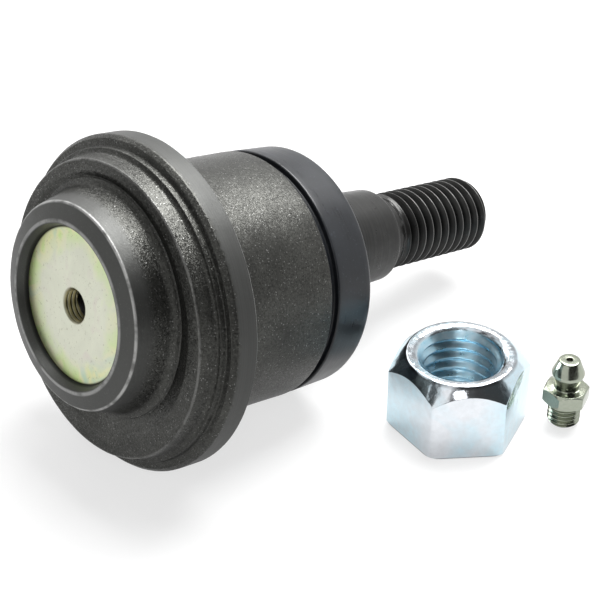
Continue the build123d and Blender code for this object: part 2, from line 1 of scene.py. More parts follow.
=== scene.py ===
# Press-in suspension ball joint, lying beside its stud nut and its grease fitting.
# Lengths are metres. Each piece is drawn in the frame of the axis that it turns about.
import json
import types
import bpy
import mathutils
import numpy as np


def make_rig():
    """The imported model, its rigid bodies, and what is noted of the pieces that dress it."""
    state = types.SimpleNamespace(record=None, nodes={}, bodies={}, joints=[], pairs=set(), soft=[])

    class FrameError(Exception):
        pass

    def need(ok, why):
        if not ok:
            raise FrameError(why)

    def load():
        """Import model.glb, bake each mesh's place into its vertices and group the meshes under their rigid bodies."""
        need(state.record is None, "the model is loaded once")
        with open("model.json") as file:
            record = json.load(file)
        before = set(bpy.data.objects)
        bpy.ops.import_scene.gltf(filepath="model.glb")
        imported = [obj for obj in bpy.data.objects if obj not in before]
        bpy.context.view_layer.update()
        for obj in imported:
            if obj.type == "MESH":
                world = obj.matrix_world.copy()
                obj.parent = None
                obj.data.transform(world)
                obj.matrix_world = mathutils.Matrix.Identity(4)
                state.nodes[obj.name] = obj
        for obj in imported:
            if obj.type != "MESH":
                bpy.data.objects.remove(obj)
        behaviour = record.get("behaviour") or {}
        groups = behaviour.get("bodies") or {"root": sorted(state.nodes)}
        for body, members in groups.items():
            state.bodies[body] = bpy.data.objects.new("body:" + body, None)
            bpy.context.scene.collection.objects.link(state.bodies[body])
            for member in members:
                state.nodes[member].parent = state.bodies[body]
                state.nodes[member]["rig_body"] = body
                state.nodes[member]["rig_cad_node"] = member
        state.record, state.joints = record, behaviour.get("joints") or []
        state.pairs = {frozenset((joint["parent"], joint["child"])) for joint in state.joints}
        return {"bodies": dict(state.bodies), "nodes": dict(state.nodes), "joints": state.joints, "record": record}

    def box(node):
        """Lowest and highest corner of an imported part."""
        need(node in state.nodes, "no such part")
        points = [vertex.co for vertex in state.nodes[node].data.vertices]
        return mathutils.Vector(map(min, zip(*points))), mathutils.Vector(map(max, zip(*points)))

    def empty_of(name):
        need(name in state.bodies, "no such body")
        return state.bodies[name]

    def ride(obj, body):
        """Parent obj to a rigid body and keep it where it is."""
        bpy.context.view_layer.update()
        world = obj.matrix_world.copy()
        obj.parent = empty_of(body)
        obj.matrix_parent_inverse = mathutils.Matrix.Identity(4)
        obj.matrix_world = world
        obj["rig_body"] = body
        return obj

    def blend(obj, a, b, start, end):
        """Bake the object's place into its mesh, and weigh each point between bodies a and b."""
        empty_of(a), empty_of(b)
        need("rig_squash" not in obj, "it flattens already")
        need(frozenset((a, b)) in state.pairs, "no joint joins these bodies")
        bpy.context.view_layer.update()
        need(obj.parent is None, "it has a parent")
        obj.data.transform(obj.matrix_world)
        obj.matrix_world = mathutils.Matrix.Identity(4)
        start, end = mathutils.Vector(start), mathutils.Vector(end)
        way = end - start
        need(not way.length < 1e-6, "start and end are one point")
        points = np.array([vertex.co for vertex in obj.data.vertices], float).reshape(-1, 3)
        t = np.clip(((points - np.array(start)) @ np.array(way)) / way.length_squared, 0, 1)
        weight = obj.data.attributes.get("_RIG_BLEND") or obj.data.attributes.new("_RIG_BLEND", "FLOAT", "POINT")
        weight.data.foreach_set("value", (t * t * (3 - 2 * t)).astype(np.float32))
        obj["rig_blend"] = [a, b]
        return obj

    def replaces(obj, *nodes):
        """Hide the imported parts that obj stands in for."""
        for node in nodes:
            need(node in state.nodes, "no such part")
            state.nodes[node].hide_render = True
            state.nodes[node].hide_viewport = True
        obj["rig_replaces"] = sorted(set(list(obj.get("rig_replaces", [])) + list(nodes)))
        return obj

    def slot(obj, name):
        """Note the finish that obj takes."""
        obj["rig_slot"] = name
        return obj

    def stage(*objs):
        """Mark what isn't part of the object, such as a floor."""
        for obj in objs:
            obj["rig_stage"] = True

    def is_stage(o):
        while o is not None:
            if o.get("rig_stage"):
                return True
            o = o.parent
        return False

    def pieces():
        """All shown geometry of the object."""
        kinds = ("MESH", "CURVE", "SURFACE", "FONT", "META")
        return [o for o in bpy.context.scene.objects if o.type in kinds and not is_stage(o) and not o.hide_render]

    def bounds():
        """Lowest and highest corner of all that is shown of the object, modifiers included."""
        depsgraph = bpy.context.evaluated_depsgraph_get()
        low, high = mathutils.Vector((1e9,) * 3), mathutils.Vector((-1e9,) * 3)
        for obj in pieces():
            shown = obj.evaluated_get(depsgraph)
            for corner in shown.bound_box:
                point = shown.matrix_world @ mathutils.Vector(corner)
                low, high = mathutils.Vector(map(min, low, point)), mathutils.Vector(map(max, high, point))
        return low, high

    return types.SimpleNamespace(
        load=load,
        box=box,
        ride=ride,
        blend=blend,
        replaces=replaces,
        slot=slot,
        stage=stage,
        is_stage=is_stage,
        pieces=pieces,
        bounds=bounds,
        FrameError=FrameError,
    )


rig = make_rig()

bl_info = {
    "name": "Suspension ball joint",
    "version": (1, 0, 0),
    "blender": (4, 5, 0),
    "location": "3D View > Sidebar > Ball joint",
    "description": "Press-in ball joint with its stud nut and its grease fitting",
    "category": "Add Mesh",
}

import json
from math import atan, atan2, ceil, cos, hypot, pi, radians, sin, sqrt, tan

import bmesh
import bpy
from bpy.props import FloatProperty, FloatVectorProperty, PointerProperty
from mathutils import Matrix, Vector, noise

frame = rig.load()
CAD_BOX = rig.bounds()

MM = 0.001
WHITE = (1.0, 1.0, 1.0, 1.0)
AXIS_PLACE = "axis_place"


# --- Sizes and colours that a user would change -------------------------------
def length(name, description, default):
    return FloatProperty(name=name, description=description, default=default * MM, unit="LENGTH", min=0.0)


def station(name, description, default):
    return length(name, description + ", from the nose rim", default)


def angle(name, description, default):
    return FloatProperty(name=name, description=description, default=radians(default), unit="ROTATION")


def colour(name, description, *default):
    return FloatVectorProperty(
        name=name, description=description, default=default, subtype="COLOR", size=3, min=0.0, max=1.0
    )


def share(name, description, default):
    return FloatProperty(
        name=name, description=description, default=default, min=0.0, max=1.0, subtype="FACTOR"
    )


def watts(name, description, default):
    return FloatProperty(name=name, description=description, default=default, unit="POWER")


def direction(name, description, *default):
    return FloatVectorProperty(
        name=name, description=description, default=default, subtype="DIRECTION"
    )


class HousingSizes(bpy.types.PropertyGroup):
    """Forged housing and its cover plate"""

    socket_offset: length("Socket offset", "Distance between the press axis and the socket axis", 2.0)
    socket_turn: angle("Socket turn", "Turn of the socket's offset from straight up", 25.0)
    rim_radius: length("Rim radius", "Outside radius of the nose at its rim", 18.9)
    rim_round: length("Rim rounding", "Rounding of the nose's outer edge", 0.5)
    bead_radius: length("Bead radius", "Radius of the rolled rim's inner bead", 15.7)
    bead_rise: length("Bead rise", "How far the bead stands out from the nose's edge", 1.1)
    bead_round: length("Bead rounding", "Rounding of the bead", 0.35)
    mouth_radius: length("Mouth radius", "Radius of the opening at the bead", 15.1)
    nose_foot: length("Nose foot", "Radius where the nose meets the step", 21.0)
    nose_height: length("Nose height", "From the rim to the step's face", 6.4)
    crimp_radius: length("Crimp opening", "Radius of the opening where the rim holds the cover", 14.3)
    step_radius: length("Step radius", "Radius of the step's edge", 27.3)
    step_height: length("Step height", "From the step's face to the flange", 4.4)
    flange_radius: length("Flange radius", "Outside radius of the seat flange", 31.05)
    flange_thickness: length("Flange thickness", "From the flange's front to its rear", 5.4)
    barrel_radius: length("Barrel radius", "Radius of the press barrel", 24.0)
    barrel_end: station("Barrel end", "Where the barrel ends", 41.0)
    spigot_radius: length("Spigot radius", "Radius of the spigot under the boot", 20.0)
    spigot_length: length("Spigot length", "From the barrel's end to the spigot's end", 3.0)
    spigot_mouth: length("Spigot mouth", "Radius of the opening at the spigot's end", 15.0)
    bore_radius: length("Bore radius", "Radius of the bearing bore", 15.5)
    race_opening: length("Race opening", "Radius of the opening at the end of the bore", 11.4)
    race_depth: length("Race depth", "From the ball's centre to the end of the bore", 8.95)
    cover_radius: length("Cover radius", "Radius of the cover plate", 16.8)
    cover_top: length("Cover depth", "How far the cover plate lies behind the nose's edge", 0.85)
    cover_base: length("Cover base", "Depth of the cover plate's inner face", 3.65)
    port_radius: length("Port radius", "Inside radius of the grease port's thread", 2.8)
    port_pitch: length("Port pitch", "Pitch of the grease port's thread", 0.907)
    port_depth: length("Port thread depth", "Depth of the grease port's thread", 0.375)

    def flange_span(self):
        """Heights of the flange's front and rear, from the nose rim."""
        front = self.nose_height + self.step_height
        return front, front + self.flange_thickness


class StudSizes(bpy.types.PropertyGroup):
    """Ball stud"""

    ball_radius: length("Ball radius", "Radius of the ball", 13.5)
    ball_height: station("Ball height", "Ball centre", 27.0)
    flat_radius: length("Ball flat", "Radius of the flat at the ball's end", 3.5)
    neck_radius: length("Neck radius", "Radius of the neck beyond the ball", 7.6)
    neck_end: station("Neck end", "Where the neck starts to widen", 45.0)
    seat_start: station("Boot seat start", "Where the lip's seat starts", 49.5)
    seat_end: station("Boot seat end", "Where the lip's seat ends", 55.1)
    seat_radius: length("Boot seat radius", "Radius that the boot's lip seals on", 9.4)
    shoulder_radius: length("Shoulder radius", "Largest radius of the tapered shoulder", 10.4)
    shoulder_end_radius: length("Shoulder end radius", "Radius at the shoulder's small end", 9.5)
    shoulder_start: station("Shoulder start", "Where the taper starts", 56.0)
    shoulder_end: station("Shoulder end", "Where the taper ends", 74.2)
    thread_radius: length("Thread radius", "Radius over the thread's crests", 7.9375)
    thread_pitch: length("Thread pitch", "Distance between two crests", 2.309)
    thread_start: station("Thread start", "Where the thread starts", 77.2)
    thread_end: station("Thread end", "Tip of the stud", 103.9)
    runout_step: length("Runout step", "From the crests down to the turned end before them", 0.35)
    runout_length: length("Runout length", "Length of the turned end before the thread", 1.2)
    tip_chamfer: length("Tip chamfer", "Chamfer at the stud's tip", 1.3)
    centre_hole: length("Centre hole", "Radius and depth of the tip's centre hole", 1.6)


class BootSizes(bpy.types.PropertyGroup):
    """Rubber boot"""

    ring_radius: length("Ring radius", "Outside radius of the outer ring", 23.9)
    ring_draft: length("Ring draft", "How much the ring's radius falls to the rear", 0.35)
    ring_start: station("Ring start", "Front edge of the ring", 42.35)
    ring_end: station("Ring end", "Rear edge of the ring", 51.35)
    ring_bore: length("Ring bore", "Inside radius of the ring", 21.1)
    groove_radius: length("Groove radius", "Radius of the groove against the barrel", 22.7)
    insert_radius: length("Insert radius", "Radius of the steel insert's flange", 22.0)
    insert_front: station("Insert front", "Front of the insert's flange", 43.88)
    insert_rear: station("Insert rear", "Rear of the insert's flange", 44.82)
    skirt_wall: length("Skirt wall", "Thickness of the skirt between ring and lip", 1.2)
    lip_radius: length("Lip radius", "Outside radius of the sealing lip", 11.3)
    lip_bore: length("Lip bore", "Inside radius of the sealing lip", 9.5)
    lip_start: station("Lip start", "Inner end of the lip", 50.1)
    lip_end: station("Lip end", "Outer end of the lip", 54.5)
    flange_width: length("Lip flange width", "How far the lip's flange stands out", 0.4)
    flange_thickness: length("Lip flange thickness", "Thickness of the lip's flange", 1.2)
    garter_height: station("Garter height", "Middle of the garter spring", 51.7)
    garter_track: length("Garter track", "Radius of the garter spring's middle line", 11.05)
    garter_radius: length("Garter radius", "Radius over the garter spring's coils", 0.5)
    garter_wire: length("Garter wire", "Radius of the garter spring's wire", 0.13)


class NutSizes(bpy.types.PropertyGroup):
    """Stud nut"""

    half_flats: length("Half across flats", "From the axis to a flat", 11.905)
    height: length("Height", "Height of the nut", 16.0)
    corner_round: length("Corner rounding", "Rounding of the upright corners", 0.45)
    top_land: length("Top land", "Outer radius of the flat ring on top", 10.45)
    base_land: length("Base land", "Outer radius of the flat base", 12.997)
    bore: length("Bore", "Inside radius of the thread", 6.9)
    thread_depth: length("Thread depth", "From the crests to the roots", 1.04)
    sink: length("Countersink", "Width of the countersinks", 1.8)
    top_bevel: angle("Top bevel", "Slope of the top bevel", 49.0)
    base_bevel: angle("Base bevel", "Slope of the base bevel", 35.0)
    turn: angle("Turn", "Turn of the nut about its axis", -7.5)


class FittingSizes(bpy.types.PropertyGroup):
    """Grease fitting"""

    thread_radius: length("Thread radius", "Radius over the thread's crests", 3.175)
    thread_pitch: length("Thread pitch", "Distance between two crests", 0.907)
    thread_length: length("Thread length", "Height of the threaded end", 5.2)
    tip_chamfer: length("Tip chamfer", "Chamfer at the threaded end", 0.9)
    half_flats: length("Half across flats", "From the axis to a flat of the hexagon", 3.97)
    corner_round: length("Corner rounding", "Rounding of the upright corners", 0.15)
    hex_land: length("Hexagon land", "Outer radius of the hexagon's flat ends", 3.8)
    hex_height: length("Hexagon height", "Height of the hexagon", 3.2)
    neck_radius: length("Neck radius", "Radius of the neck under the head", 2.3)
    neck_height: length("Neck height", "Height of the neck", 1.0)
    head_radius: length("Head radius", "Largest radius of the coupler head", 3.25)
    head_height: length("Head height", "Height of the coupler head", 5.4)
    head_cone: length("Head cone", "From the head's widest place to its tip", 3.0)
    tip_radius: length("Tip radius", "Radius of the head's tip", 2.0)
    orifice: length("Orifice", "Radius of the orifice", 0.6)
    orifice_depth: length("Orifice depth", "Depth of the orifice, down to the ball's seat", 1.0)
    bore: length("Bore", "Radius of the spring bore", 1.35)
    foot_hole: length("Foot hole", "Radius of the hole under the spring", 0.7)
    foot_wall: length("Foot wall", "Thickness of the wall under the spring", 0.5)
    turn: angle("Turn", "Turn of the fitting about its axis", -6.9)


class FinishColours(bpy.types.PropertyGroup):
    """Colours of the finishes"""

    forging: colour("Forging", "Blasted skin of the housing", 0.062, 0.0625, 0.0575)
    machined: colour("Machined steel", "Turned bands and rolled rim of the housing", 0.066, 0.067, 0.0645)
    # Rubbed wear on the housing's edges, the painted highlights on them, and the painted glint specks take this
    # colour.
    wear_and_glint_tint: colour("Worn edge", "Edges rubbed bright", 0.5, 0.5, 0.49)
    stud: colour("Stud", "Black oxide of the stud", 0.036, 0.036, 0.035)
    rubber: colour("Rubber", "Boot rubber", 0.009, 0.0105, 0.013)
    yellow_zinc: colour("Yellow zinc", "Plating of the cover plate", 0.62, 0.635, 0.525)
    zinc_green: colour("Zinc green", "Green bands at the cover plate's edge", 0.56, 0.7, 0.29)
    zinc_gold: colour("Zinc gold", "Yellow bands at the cover plate's edge", 0.7, 0.7, 0.41)
    zinc_teal: colour("Zinc teal", "Bluer bands at the cover plate's edge", 0.46, 0.62, 0.5)
    zinc_rose: colour("Zinc rose", "Rosy drift in the cover plate's middle", 0.62, 0.55, 0.52)
    # Painted shade in the gap where the rim holds the cover plate.
    crimp_shade: colour("Crimp tint", "Dark line where the rim holds the cover plate", 0.04, 0.042, 0.025)
    brass_tint: colour("Brass tint", "Deeper yellow in the plating's hollows", 0.2, 0.175, 0.08)
    blue_zinc: colour("Blue zinc", "Plating of the nut", 0.79, 0.82, 0.86)
    # Also colours the painted reflection on the nut's sides.
    blue_drift_and_reflection: colour("Blue drift", "Bluer tint that the nut's plating drifts to", 0.6, 0.81, 0.9)
    # Painted shade inside the nut's thread, in the plating's colour.
    bore_shade_zinc: colour("Bore zinc", "Plating in the nut's thread", 0.36, 0.6, 0.72)
    clear_zinc: colour("Clear zinc", "Plating of the grease fitting", 0.36, 0.39, 0.32)
    # Also colours the painted reflection on the fitting's sides.
    clear_drift_and_reflection: colour("Clear drift", "Deeper tint of the fitting's plating", 0.3, 0.31, 0.24)
    # Painted shade inside the fitting's orifice.
    orifice_shade: colour("Orifice tint", "Inside of the fitting's orifice", 0.08, 0.08, 0.06)
    spring_steel: colour("Spring steel", "Springs and the boot's insert", 0.32, 0.32, 0.33)
    bearing_steel: colour("Bearing steel", "Sintered bearings", 0.24, 0.235, 0.225)
    floor: colour("Floor", "Floor", 0.3, 0.3, 0.3)


class StageSettings(bpy.types.PropertyGroup):
    """Camera, lamps and floor"""

    camera_place: FloatVectorProperty(
        name="Camera",
        description="Where the camera stands",
        default=(-0.172464, -0.1856, 0.1964),
        subtype="TRANSLATION",
    )
    camera_pitch: angle("Camera pitch", "Tilt of the camera from straight down", 55.3)
    camera_heading: angle("Camera heading", "Turn of the camera about the vertical", -41.74)
    lens: FloatProperty(
        name="Lens", description="Focal length", default=96.0, min=10.0, unit="CAMERA"
    )
    floor_size: length("Floor size", "Side of the floor", 6000.0)
    glow_start: length("Glow start", "Where the floor starts to turn white", 300.0)
    glow_end: length("Glow end", "Where the floor is white", 1000.0)
    floor_glow: share("Floor glow", "How much the floor shows its own white", 0.7)
    floor_mirror: share("Floor in reflections", "How much of that white shows in reflections", 0.5)
    world_light: share("World light", "Strength of the soft light all round", 0.25)
    dark_front: direction("Dark front", "Towards the unlit front of the room", -0.12, -0.85, 0.5)
    dark_left: direction("Dark left", "Towards the unlit corner on the left", -0.66, 0.38, 0.64)
    unlit: share("Unlit part", "Strength of the room's unlit parts in reflections", 0.05)
    key_light: watts("Key light", "Power of the large lamp above", 12.0)
    fill_light: watts("Fill light", "Power of the lamp by the camera", 0.3)
    rim_light: watts("Rim light", "Power of the lamp behind", 1.5)


# --- Frames of the axes -------------------------------------------------------
def press_frame():
    """Frame of the housing: Z along the press axis from the nose's edge, X off the socket axis."""
    spin = next(joint for joint in frame["joints"] if joint["name"] == "stud_spin")
    sizes, ball_height = bpy.context.scene.joint_housing, bpy.context.scene.joint_stud.ball_height
    along = Vector(spin["axis"])
    down = (along * along.z - Vector((0, 0, 1))).normalized()
    away = Matrix.Rotation(-sizes.socket_turn, 3, along) @ down
    start = Vector(spin["pos_m"]) + away * sizes.socket_offset - along * ball_height
    turn = Matrix((away, along.cross(away), along)).transposed().to_4x4()
    return Matrix.Translation(start) @ turn


def socket_frame():
    """Frame of the nose, cover, ball and stud, which share the socket axis."""
    return press_frame() @ Matrix.Translation((-bpy.context.scene.joint_housing.socket_offset, 0, 0))


def standing_frame(node, turn):
    """Frame of a loose piece that stands on the floor."""
    low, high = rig.box(node)
    middle = (low + high) / 2
    return Matrix.Translation((middle.x, middle.y, low.z)) @ Matrix.Rotation(turn, 4, "Z")


# --- Outlines and skins -------------------------------------------------------
def rounded(corners, closed=False, longest=None, steps=6):
    """Points (radius, height, shift) of an outline; a corner is (radius, height, rounding, shift)."""
    corners = [(tuple(corner) + (0.0, 0.0))[:4] for corner in corners]
    points = []
    for index, (radius, height, rounding, shift) in enumerate(corners):
        here = Vector((radius, height))
        if not rounding:
            points.append((radius, height, shift))
            continue
        before = (Vector(corners[index - 1][:2]) - here).normalized()
        after = (Vector(corners[(index + 1) % len(corners)][:2]) - here).normalized()
        half = before.angle(after) / 2
        centre = here + (before + after).normalized() * rounding / sin(half)
        first = here + before * rounding / tan(half) - centre
        last = here + after * rounding / tan(half) - centre
        sweep = first.angle(last)
        for step in range(steps + 1):
            share_done = step / steps
            spoke = first * sin((1 - share_done) * sweep) + last * sin(share_done * sweep)
            point = centre + spoke / sin(sweep)
            points.append((point.x, point.y, shift))
    if not longest:
        return points
    runs = list(zip(points, points[1:] + points[:1] if closed else points[1:]))
    finer = []
    for start, end in runs:
        parts = max(1, ceil(hypot(end[0] - start[0], end[1] - start[1]) / longest))
        for part in range(parts):
            finer.append(tuple(a + (b - a) * part / parts for a, b in zip(start, end)))
    return finer if closed else finer + [points[-1]]


def even_turn(count):
    return [2 * pi * index / count for index in range(count)]


def hexagon_turn(half_flats, corner_round, steps=10):
    """Angles of a full turn round a hexagon, closer together on its rounded corners."""
    bend = atan(tan(pi / 6) * (1 - corner_round / half_flats))
    flat = [-bend + 2 * bend * step / steps for step in range(steps + 1)]
    corner = [bend + (pi / 3 - 2 * bend) * step / 4 for step in range(1, 4)]
    return [side * pi / 3 + turn for side in range(6) for turn in flat + corner]


def hexagon_radius(turn, half_flats, corner_round):
    """Radius of a hexagon with rounded corners, one flat facing angle zero."""
    away = abs((turn + pi / 6) % (pi / 3) - pi / 6)
    if tan(away) <= tan(pi / 6) * (1 - corner_round / half_flats):
        return half_flats / cos(away)
    reach = (half_flats - corner_round) / cos(pi / 6)
    off = pi / 6 - away
    return reach * cos(off) + sqrt(max(0.0, corner_round ** 2 - (reach * sin(off)) ** 2))


def skin(turns, outline_at, closed=True):
    """Vertices and faces of a surface whose outline may change with the angle."""
    outlines = [outline_at(turn) for turn in turns]
    rows = len(outlines[0])
    vertices = [
        (radius * cos(turn) - shift, radius * sin(turn), height)
        for turn, outline in zip(turns, outlines)
        for radius, height, shift in outline
    ]
    faces = []
    for column in range(len(turns)):
        here, there = column * rows, (column + 1) % len(turns) * rows
        for row in range(rows if closed else rows - 1):
            above = (row + 1) % rows
            faces.append((here + row, there + row, there + above, here + above))
    return vertices, faces


def lathe(count, outline, closed=True):
    """Skin whose outline stays the same all round."""
    return skin(even_turn(count), lambda turn: outline, closed)


# One pitch of a thread: how far along it is, and how full, from 1 on a crest to 0 in a root.
THREAD_FORM = (
    (0.0, 1.0), (0.05, 0.985), (0.085, 0.91), (0.24, 0.51), (0.395, 0.1), (0.44, 0.02),
    (0.5, 0.0), (0.56, 0.02), (0.605, 0.1), (0.76, 0.51), (0.915, 0.91), (0.95, 0.985),
)
DEPTH_PER_PITCH = 0.6134


def thread(turns, pitch, low, high, radius_at):
    """Helical skin between two heights, whose radius follows from the height and the form."""
    count = len(THREAD_FORM)
    rows = count * (ceil((high - low) / pitch) + 1) + 1
    vertices, faces = [], []
    for turn in turns:
        for row in range(rows):
            lead, fill = THREAD_FORM[row % count]
            height = low + pitch * (row // count - 1 + lead + turn / (2 * pi))
            if not low < height < high:
                height, fill = (low, 1.0) if height <= low else (high, 1.0)
            radius = radius_at(height, fill)
            vertices.append((radius * cos(turn), radius * sin(turn), height))
    for column in range(len(turns)):
        last = column == len(turns) - 1
        here, there = column * rows, 0 if last else (column + 1) * rows
        rise = count if last else 0
        for row in range(rows - 1):
            below, above = min(row + rise, rows - 1), min(row + 1 + rise, rows - 1)
            corners = [here + row, there + below, there + above, here + row + 1]
            if below == above:
                corners.remove(there + above)
            faces.append(corners)
    return vertices, faces


def coil(track, radius, wire, turns, height, sides=6, per_turn=10):
    """Closed ring of fine coils about Z."""
    vertices, faces = [], []
    count = turns * per_turn
    for step in range(count):
        around, twist = 2 * pi * step / count, 2 * pi * step / per_turn
        out = Vector((cos(around), sin(around), 0))
        centre = out * (track + radius * cos(twist)) + Vector((0, 0, height + radius * sin(twist)))
        normal = out * cos(twist) + Vector((0, 0, sin(twist)))
        side = Vector((-sin(around), cos(around), 0))
        for corner in range(sides):
            spread = 2 * pi * corner / sides
            vertices.append(tuple(centre + normal * wire * cos(spread) + side * wire * sin(spread)))
    for step in range(count):
        here, there = step * sides, (step + 1) % count * sides
        for corner in range(sides):
            following = (corner + 1) % sides
            faces.append((here + corner, there + corner, there + following, here + following))
    return vertices, faces


def stand(name, data, place=(0, 0, 0), turn=(0, 0, 0)):
    """Puts an object in the scene."""
    made = bpy.data.objects.new(name, data)
    made.location, made.rotation_euler = place, turn
    bpy.context.scene.collection.objects.link(made)
    return made


def piece(name, place, finish, slot, skins, roughen=None, sharp=35.0):
    """Joins skins into one closed mesh, whose finish reads the coordinates that it has here."""
    mesh = bpy.data.meshes.new(name)
    shape = bmesh.new()
    for vertices, faces in skins:
        made = [shape.verts.new(vertex) for vertex in vertices]
        for face in faces:
            shape.faces.new([made[index] for index in face])
    bmesh.ops.remove_doubles(shape, verts=shape.verts, dist=0.002 * MM)
    bmesh.ops.dissolve_degenerate(shape, edges=shape.edges, dist=0.001 * MM)
    bmesh.ops.recalc_face_normals(shape, faces=shape.faces)
    if roughen:
        shape.normal_update()
        moves = [(vertex, vertex.normal * roughen(vertex.co)) for vertex in shape.verts]
        for vertex, move in moves:
            vertex.co += move
    shape.to_mesh(mesh)
    shape.free()
    kept = mesh.attributes.new(AXIS_PLACE, "FLOAT_VECTOR", "POINT")
    kept.data.foreach_set("vector", [part for vertex in mesh.vertices for part in vertex.co])
    mesh.transform(place)
    mesh.shade_smooth()
    mesh.set_sharp_from_angle(angle=radians(sharp))
    mesh.materials.append(finish)
    made = stand(name, mesh)
    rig.slot(made, slot)
    return made


# --- Finishes -----------------------------------------------------------------
class Nodes:
    """Short calls that add nodes to the tree of a material or of the world."""

    def __init__(self, tree):
        self.tree = tree

    def feed(self, socket, value):
        if isinstance(value, bpy.types.NodeSocket):
            self.tree.links.new(value, socket)
        else:
            socket.default_value = value

    def node(self, kind, inputs, **settings):
        made = self.tree.nodes.new(kind)
        for key, value in settings.items():
            setattr(made, key, value)
        for key, value in inputs.items():
            self.feed(made.inputs[key], value)
        return made

    def place(self):
        """Direction of each ray of the world."""
        return self.node("ShaderNodeTexCoord", {}).outputs["Generated"]

    def maths(self, operation, *values):
        return self.node("ShaderNodeMath", dict(enumerate(values)), operation=operation).outputs[0]

    def plus(self, first, second):
        return self.maths("ADD", first, second)

    def minus(self, first, second):
        return self.maths("SUBTRACT", first, second)

    def times(self, first, second):
        return self.maths("MULTIPLY", first, second)

    def vectors(self, operation, inputs, output=0):
        return self.node("ShaderNodeVectorMath", inputs, operation=operation).outputs[output]

    def level(self, value, low, high, to_low=0.0, to_high=1.0):
        inputs = {0: value, 1: low, 2: high, 3: to_low, 4: to_high}
        return self.node("ShaderNodeMapRange", inputs).outputs[0]

    def blend(self, part, at_none, at_all):
        """From one value to another as a part goes from 0 to 1."""
        return self.level(part, 0.0, 1.0, at_none, at_all)

    def noise(self, scale, detail=3.0, roughness=0.5, distortion=0.0, vector=None):
        inputs = {"Vector": vector or self.place(), "Scale": scale, "Detail": detail}
        inputs.update({"Roughness": roughness, "Distortion": distortion})
        return self.node("ShaderNodeTexNoise", inputs).outputs[0]

    def seen(self, *kinds):
        """1 on the rays of these kinds, 0 on the rest."""
        path = self.node("ShaderNodeLightPath", {}).outputs
        seen = path[kinds[0]]
        for kind in kinds[1:]:
            seen = self.maths("MAXIMUM", seen, path[kind])
        return seen


class Finish(Nodes):
    """A Principled material whose patterns follow the piece's own axis."""

    def __init__(self, name, tint, metallic, roughness, solid=False, **sockets):
        self.material = bpy.data.materials.new(name)
        self.material.use_nodes = True
        super().__init__(self.material.node_tree)
        self.solid = solid
        self.shader = self.tree.nodes["Principled BSDF"]
        self.set("Base Color", tuple(tint) + (1.0,))
        self.set("Metallic", metallic)
        self.set("Roughness", roughness)
        for socket, value in sockets.items():
            self.set(socket.replace("_", " "), value)

    def set(self, socket, value):
        self.feed(self.shader.inputs[socket], value)

    def filled(self, tint, roughness, normal):
        self.set("Base Color", tint)
        self.set("Roughness", roughness)
        self.set("Normal", normal)
        return self.material

    def place(self):
        """Coordinates in the piece's own axis, or the object's for a piece that came as a solid."""
        if self.solid:
            return self.node("ShaderNodeTexCoord", {}).outputs["Object"]
        return self.node("ShaderNodeAttribute", {}, attribute_name=AXIS_PLACE).outputs["Vector"]

    def split(self):
        return self.node("ShaderNodeSeparateXYZ", {0: self.place()}).outputs

    def radius(self, x, y):
        return self.maths("SQRT", self.plus(self.times(x, x), self.times(y, y)))

    def turning(self, radial, along, roughness):
        """Marks that run all round the axis, as a lathe leaves them."""
        x, y, z = self.split()
        inputs = {0: self.times(self.radius(x, y), radial), 2: self.times(z, along)}
        rings = self.node("ShaderNodeCombineXYZ", inputs).outputs[0]
        return self.noise(1.0, 3.0, roughness, vector=rings)

    def sway(self, pattern, low, high):
        """Goes between two values with a noise, most of which lies from 0.3 to 0.7."""
        return self.level(pattern, 0.3, 0.7, low, high)

    def cells(self, scale):
        """A random colour for each cell."""
        inputs = {"Vector": self.place(), "Scale": scale}
        return self.node("ShaderNodeTexVoronoi", inputs).outputs["Color"]

    def flecks(self, scale, low, high, amount=1.0):
        """Lone cells picked out of the rest."""
        draw = self.node("ShaderNodeSeparateColor", {0: self.cells(scale)}).outputs[0]
        return self.level(draw, low, high, 0.0, amount)

    def glints(self, scale, tilt, under):
        """Normal that leans another way in each grain of a blasted surface."""
        lean = self.vectors("SUBTRACT", {0: self.cells(scale), 1: (0.5, 0.5, 0.5)})
        lean = self.vectors("SCALE", {0: lean, "Scale": tilt})
        return self.vectors("NORMALIZE", {0: self.vectors("ADD", {0: under, 1: lean})})

    def bump(self, height, strength, distance, under=None):
        inputs = {"Strength": strength, "Distance": distance, "Height": height}
        if under:
            inputs["Normal"] = under
        return self.node("ShaderNodeBump", inputs).outputs[0]

    def mix(self, factor, first, second):
        made = self.node("ShaderNodeMix", {0: factor}, data_type="RGBA")
        for socket, tint in ((made.inputs[6], first), (made.inputs[7], second)):
            plain = not isinstance(tint, bpy.types.NodeSocket)
            self.feed(socket, tuple(tint)[:3] + (1.0,) if plain else tint)
        return made.outputs[2]

    def over(self, base, tint, value, low, high, amount=1.0):
        """Lays a tint over the base as the value goes from low to high."""
        return self.mix(self.level(value, low, high, 0.0, amount), base, tint)

    def drift(self, tint, darker, lighter, value, low, high):
        """Goes from a darker to a lighter shade of a tint."""
        return self.over(shade(tint, darker), shade(tint, lighter), value, low, high)


def shade(tint, factor):
    return tuple(min(1.0, channel * factor) for channel in tuple(tint)[:3])


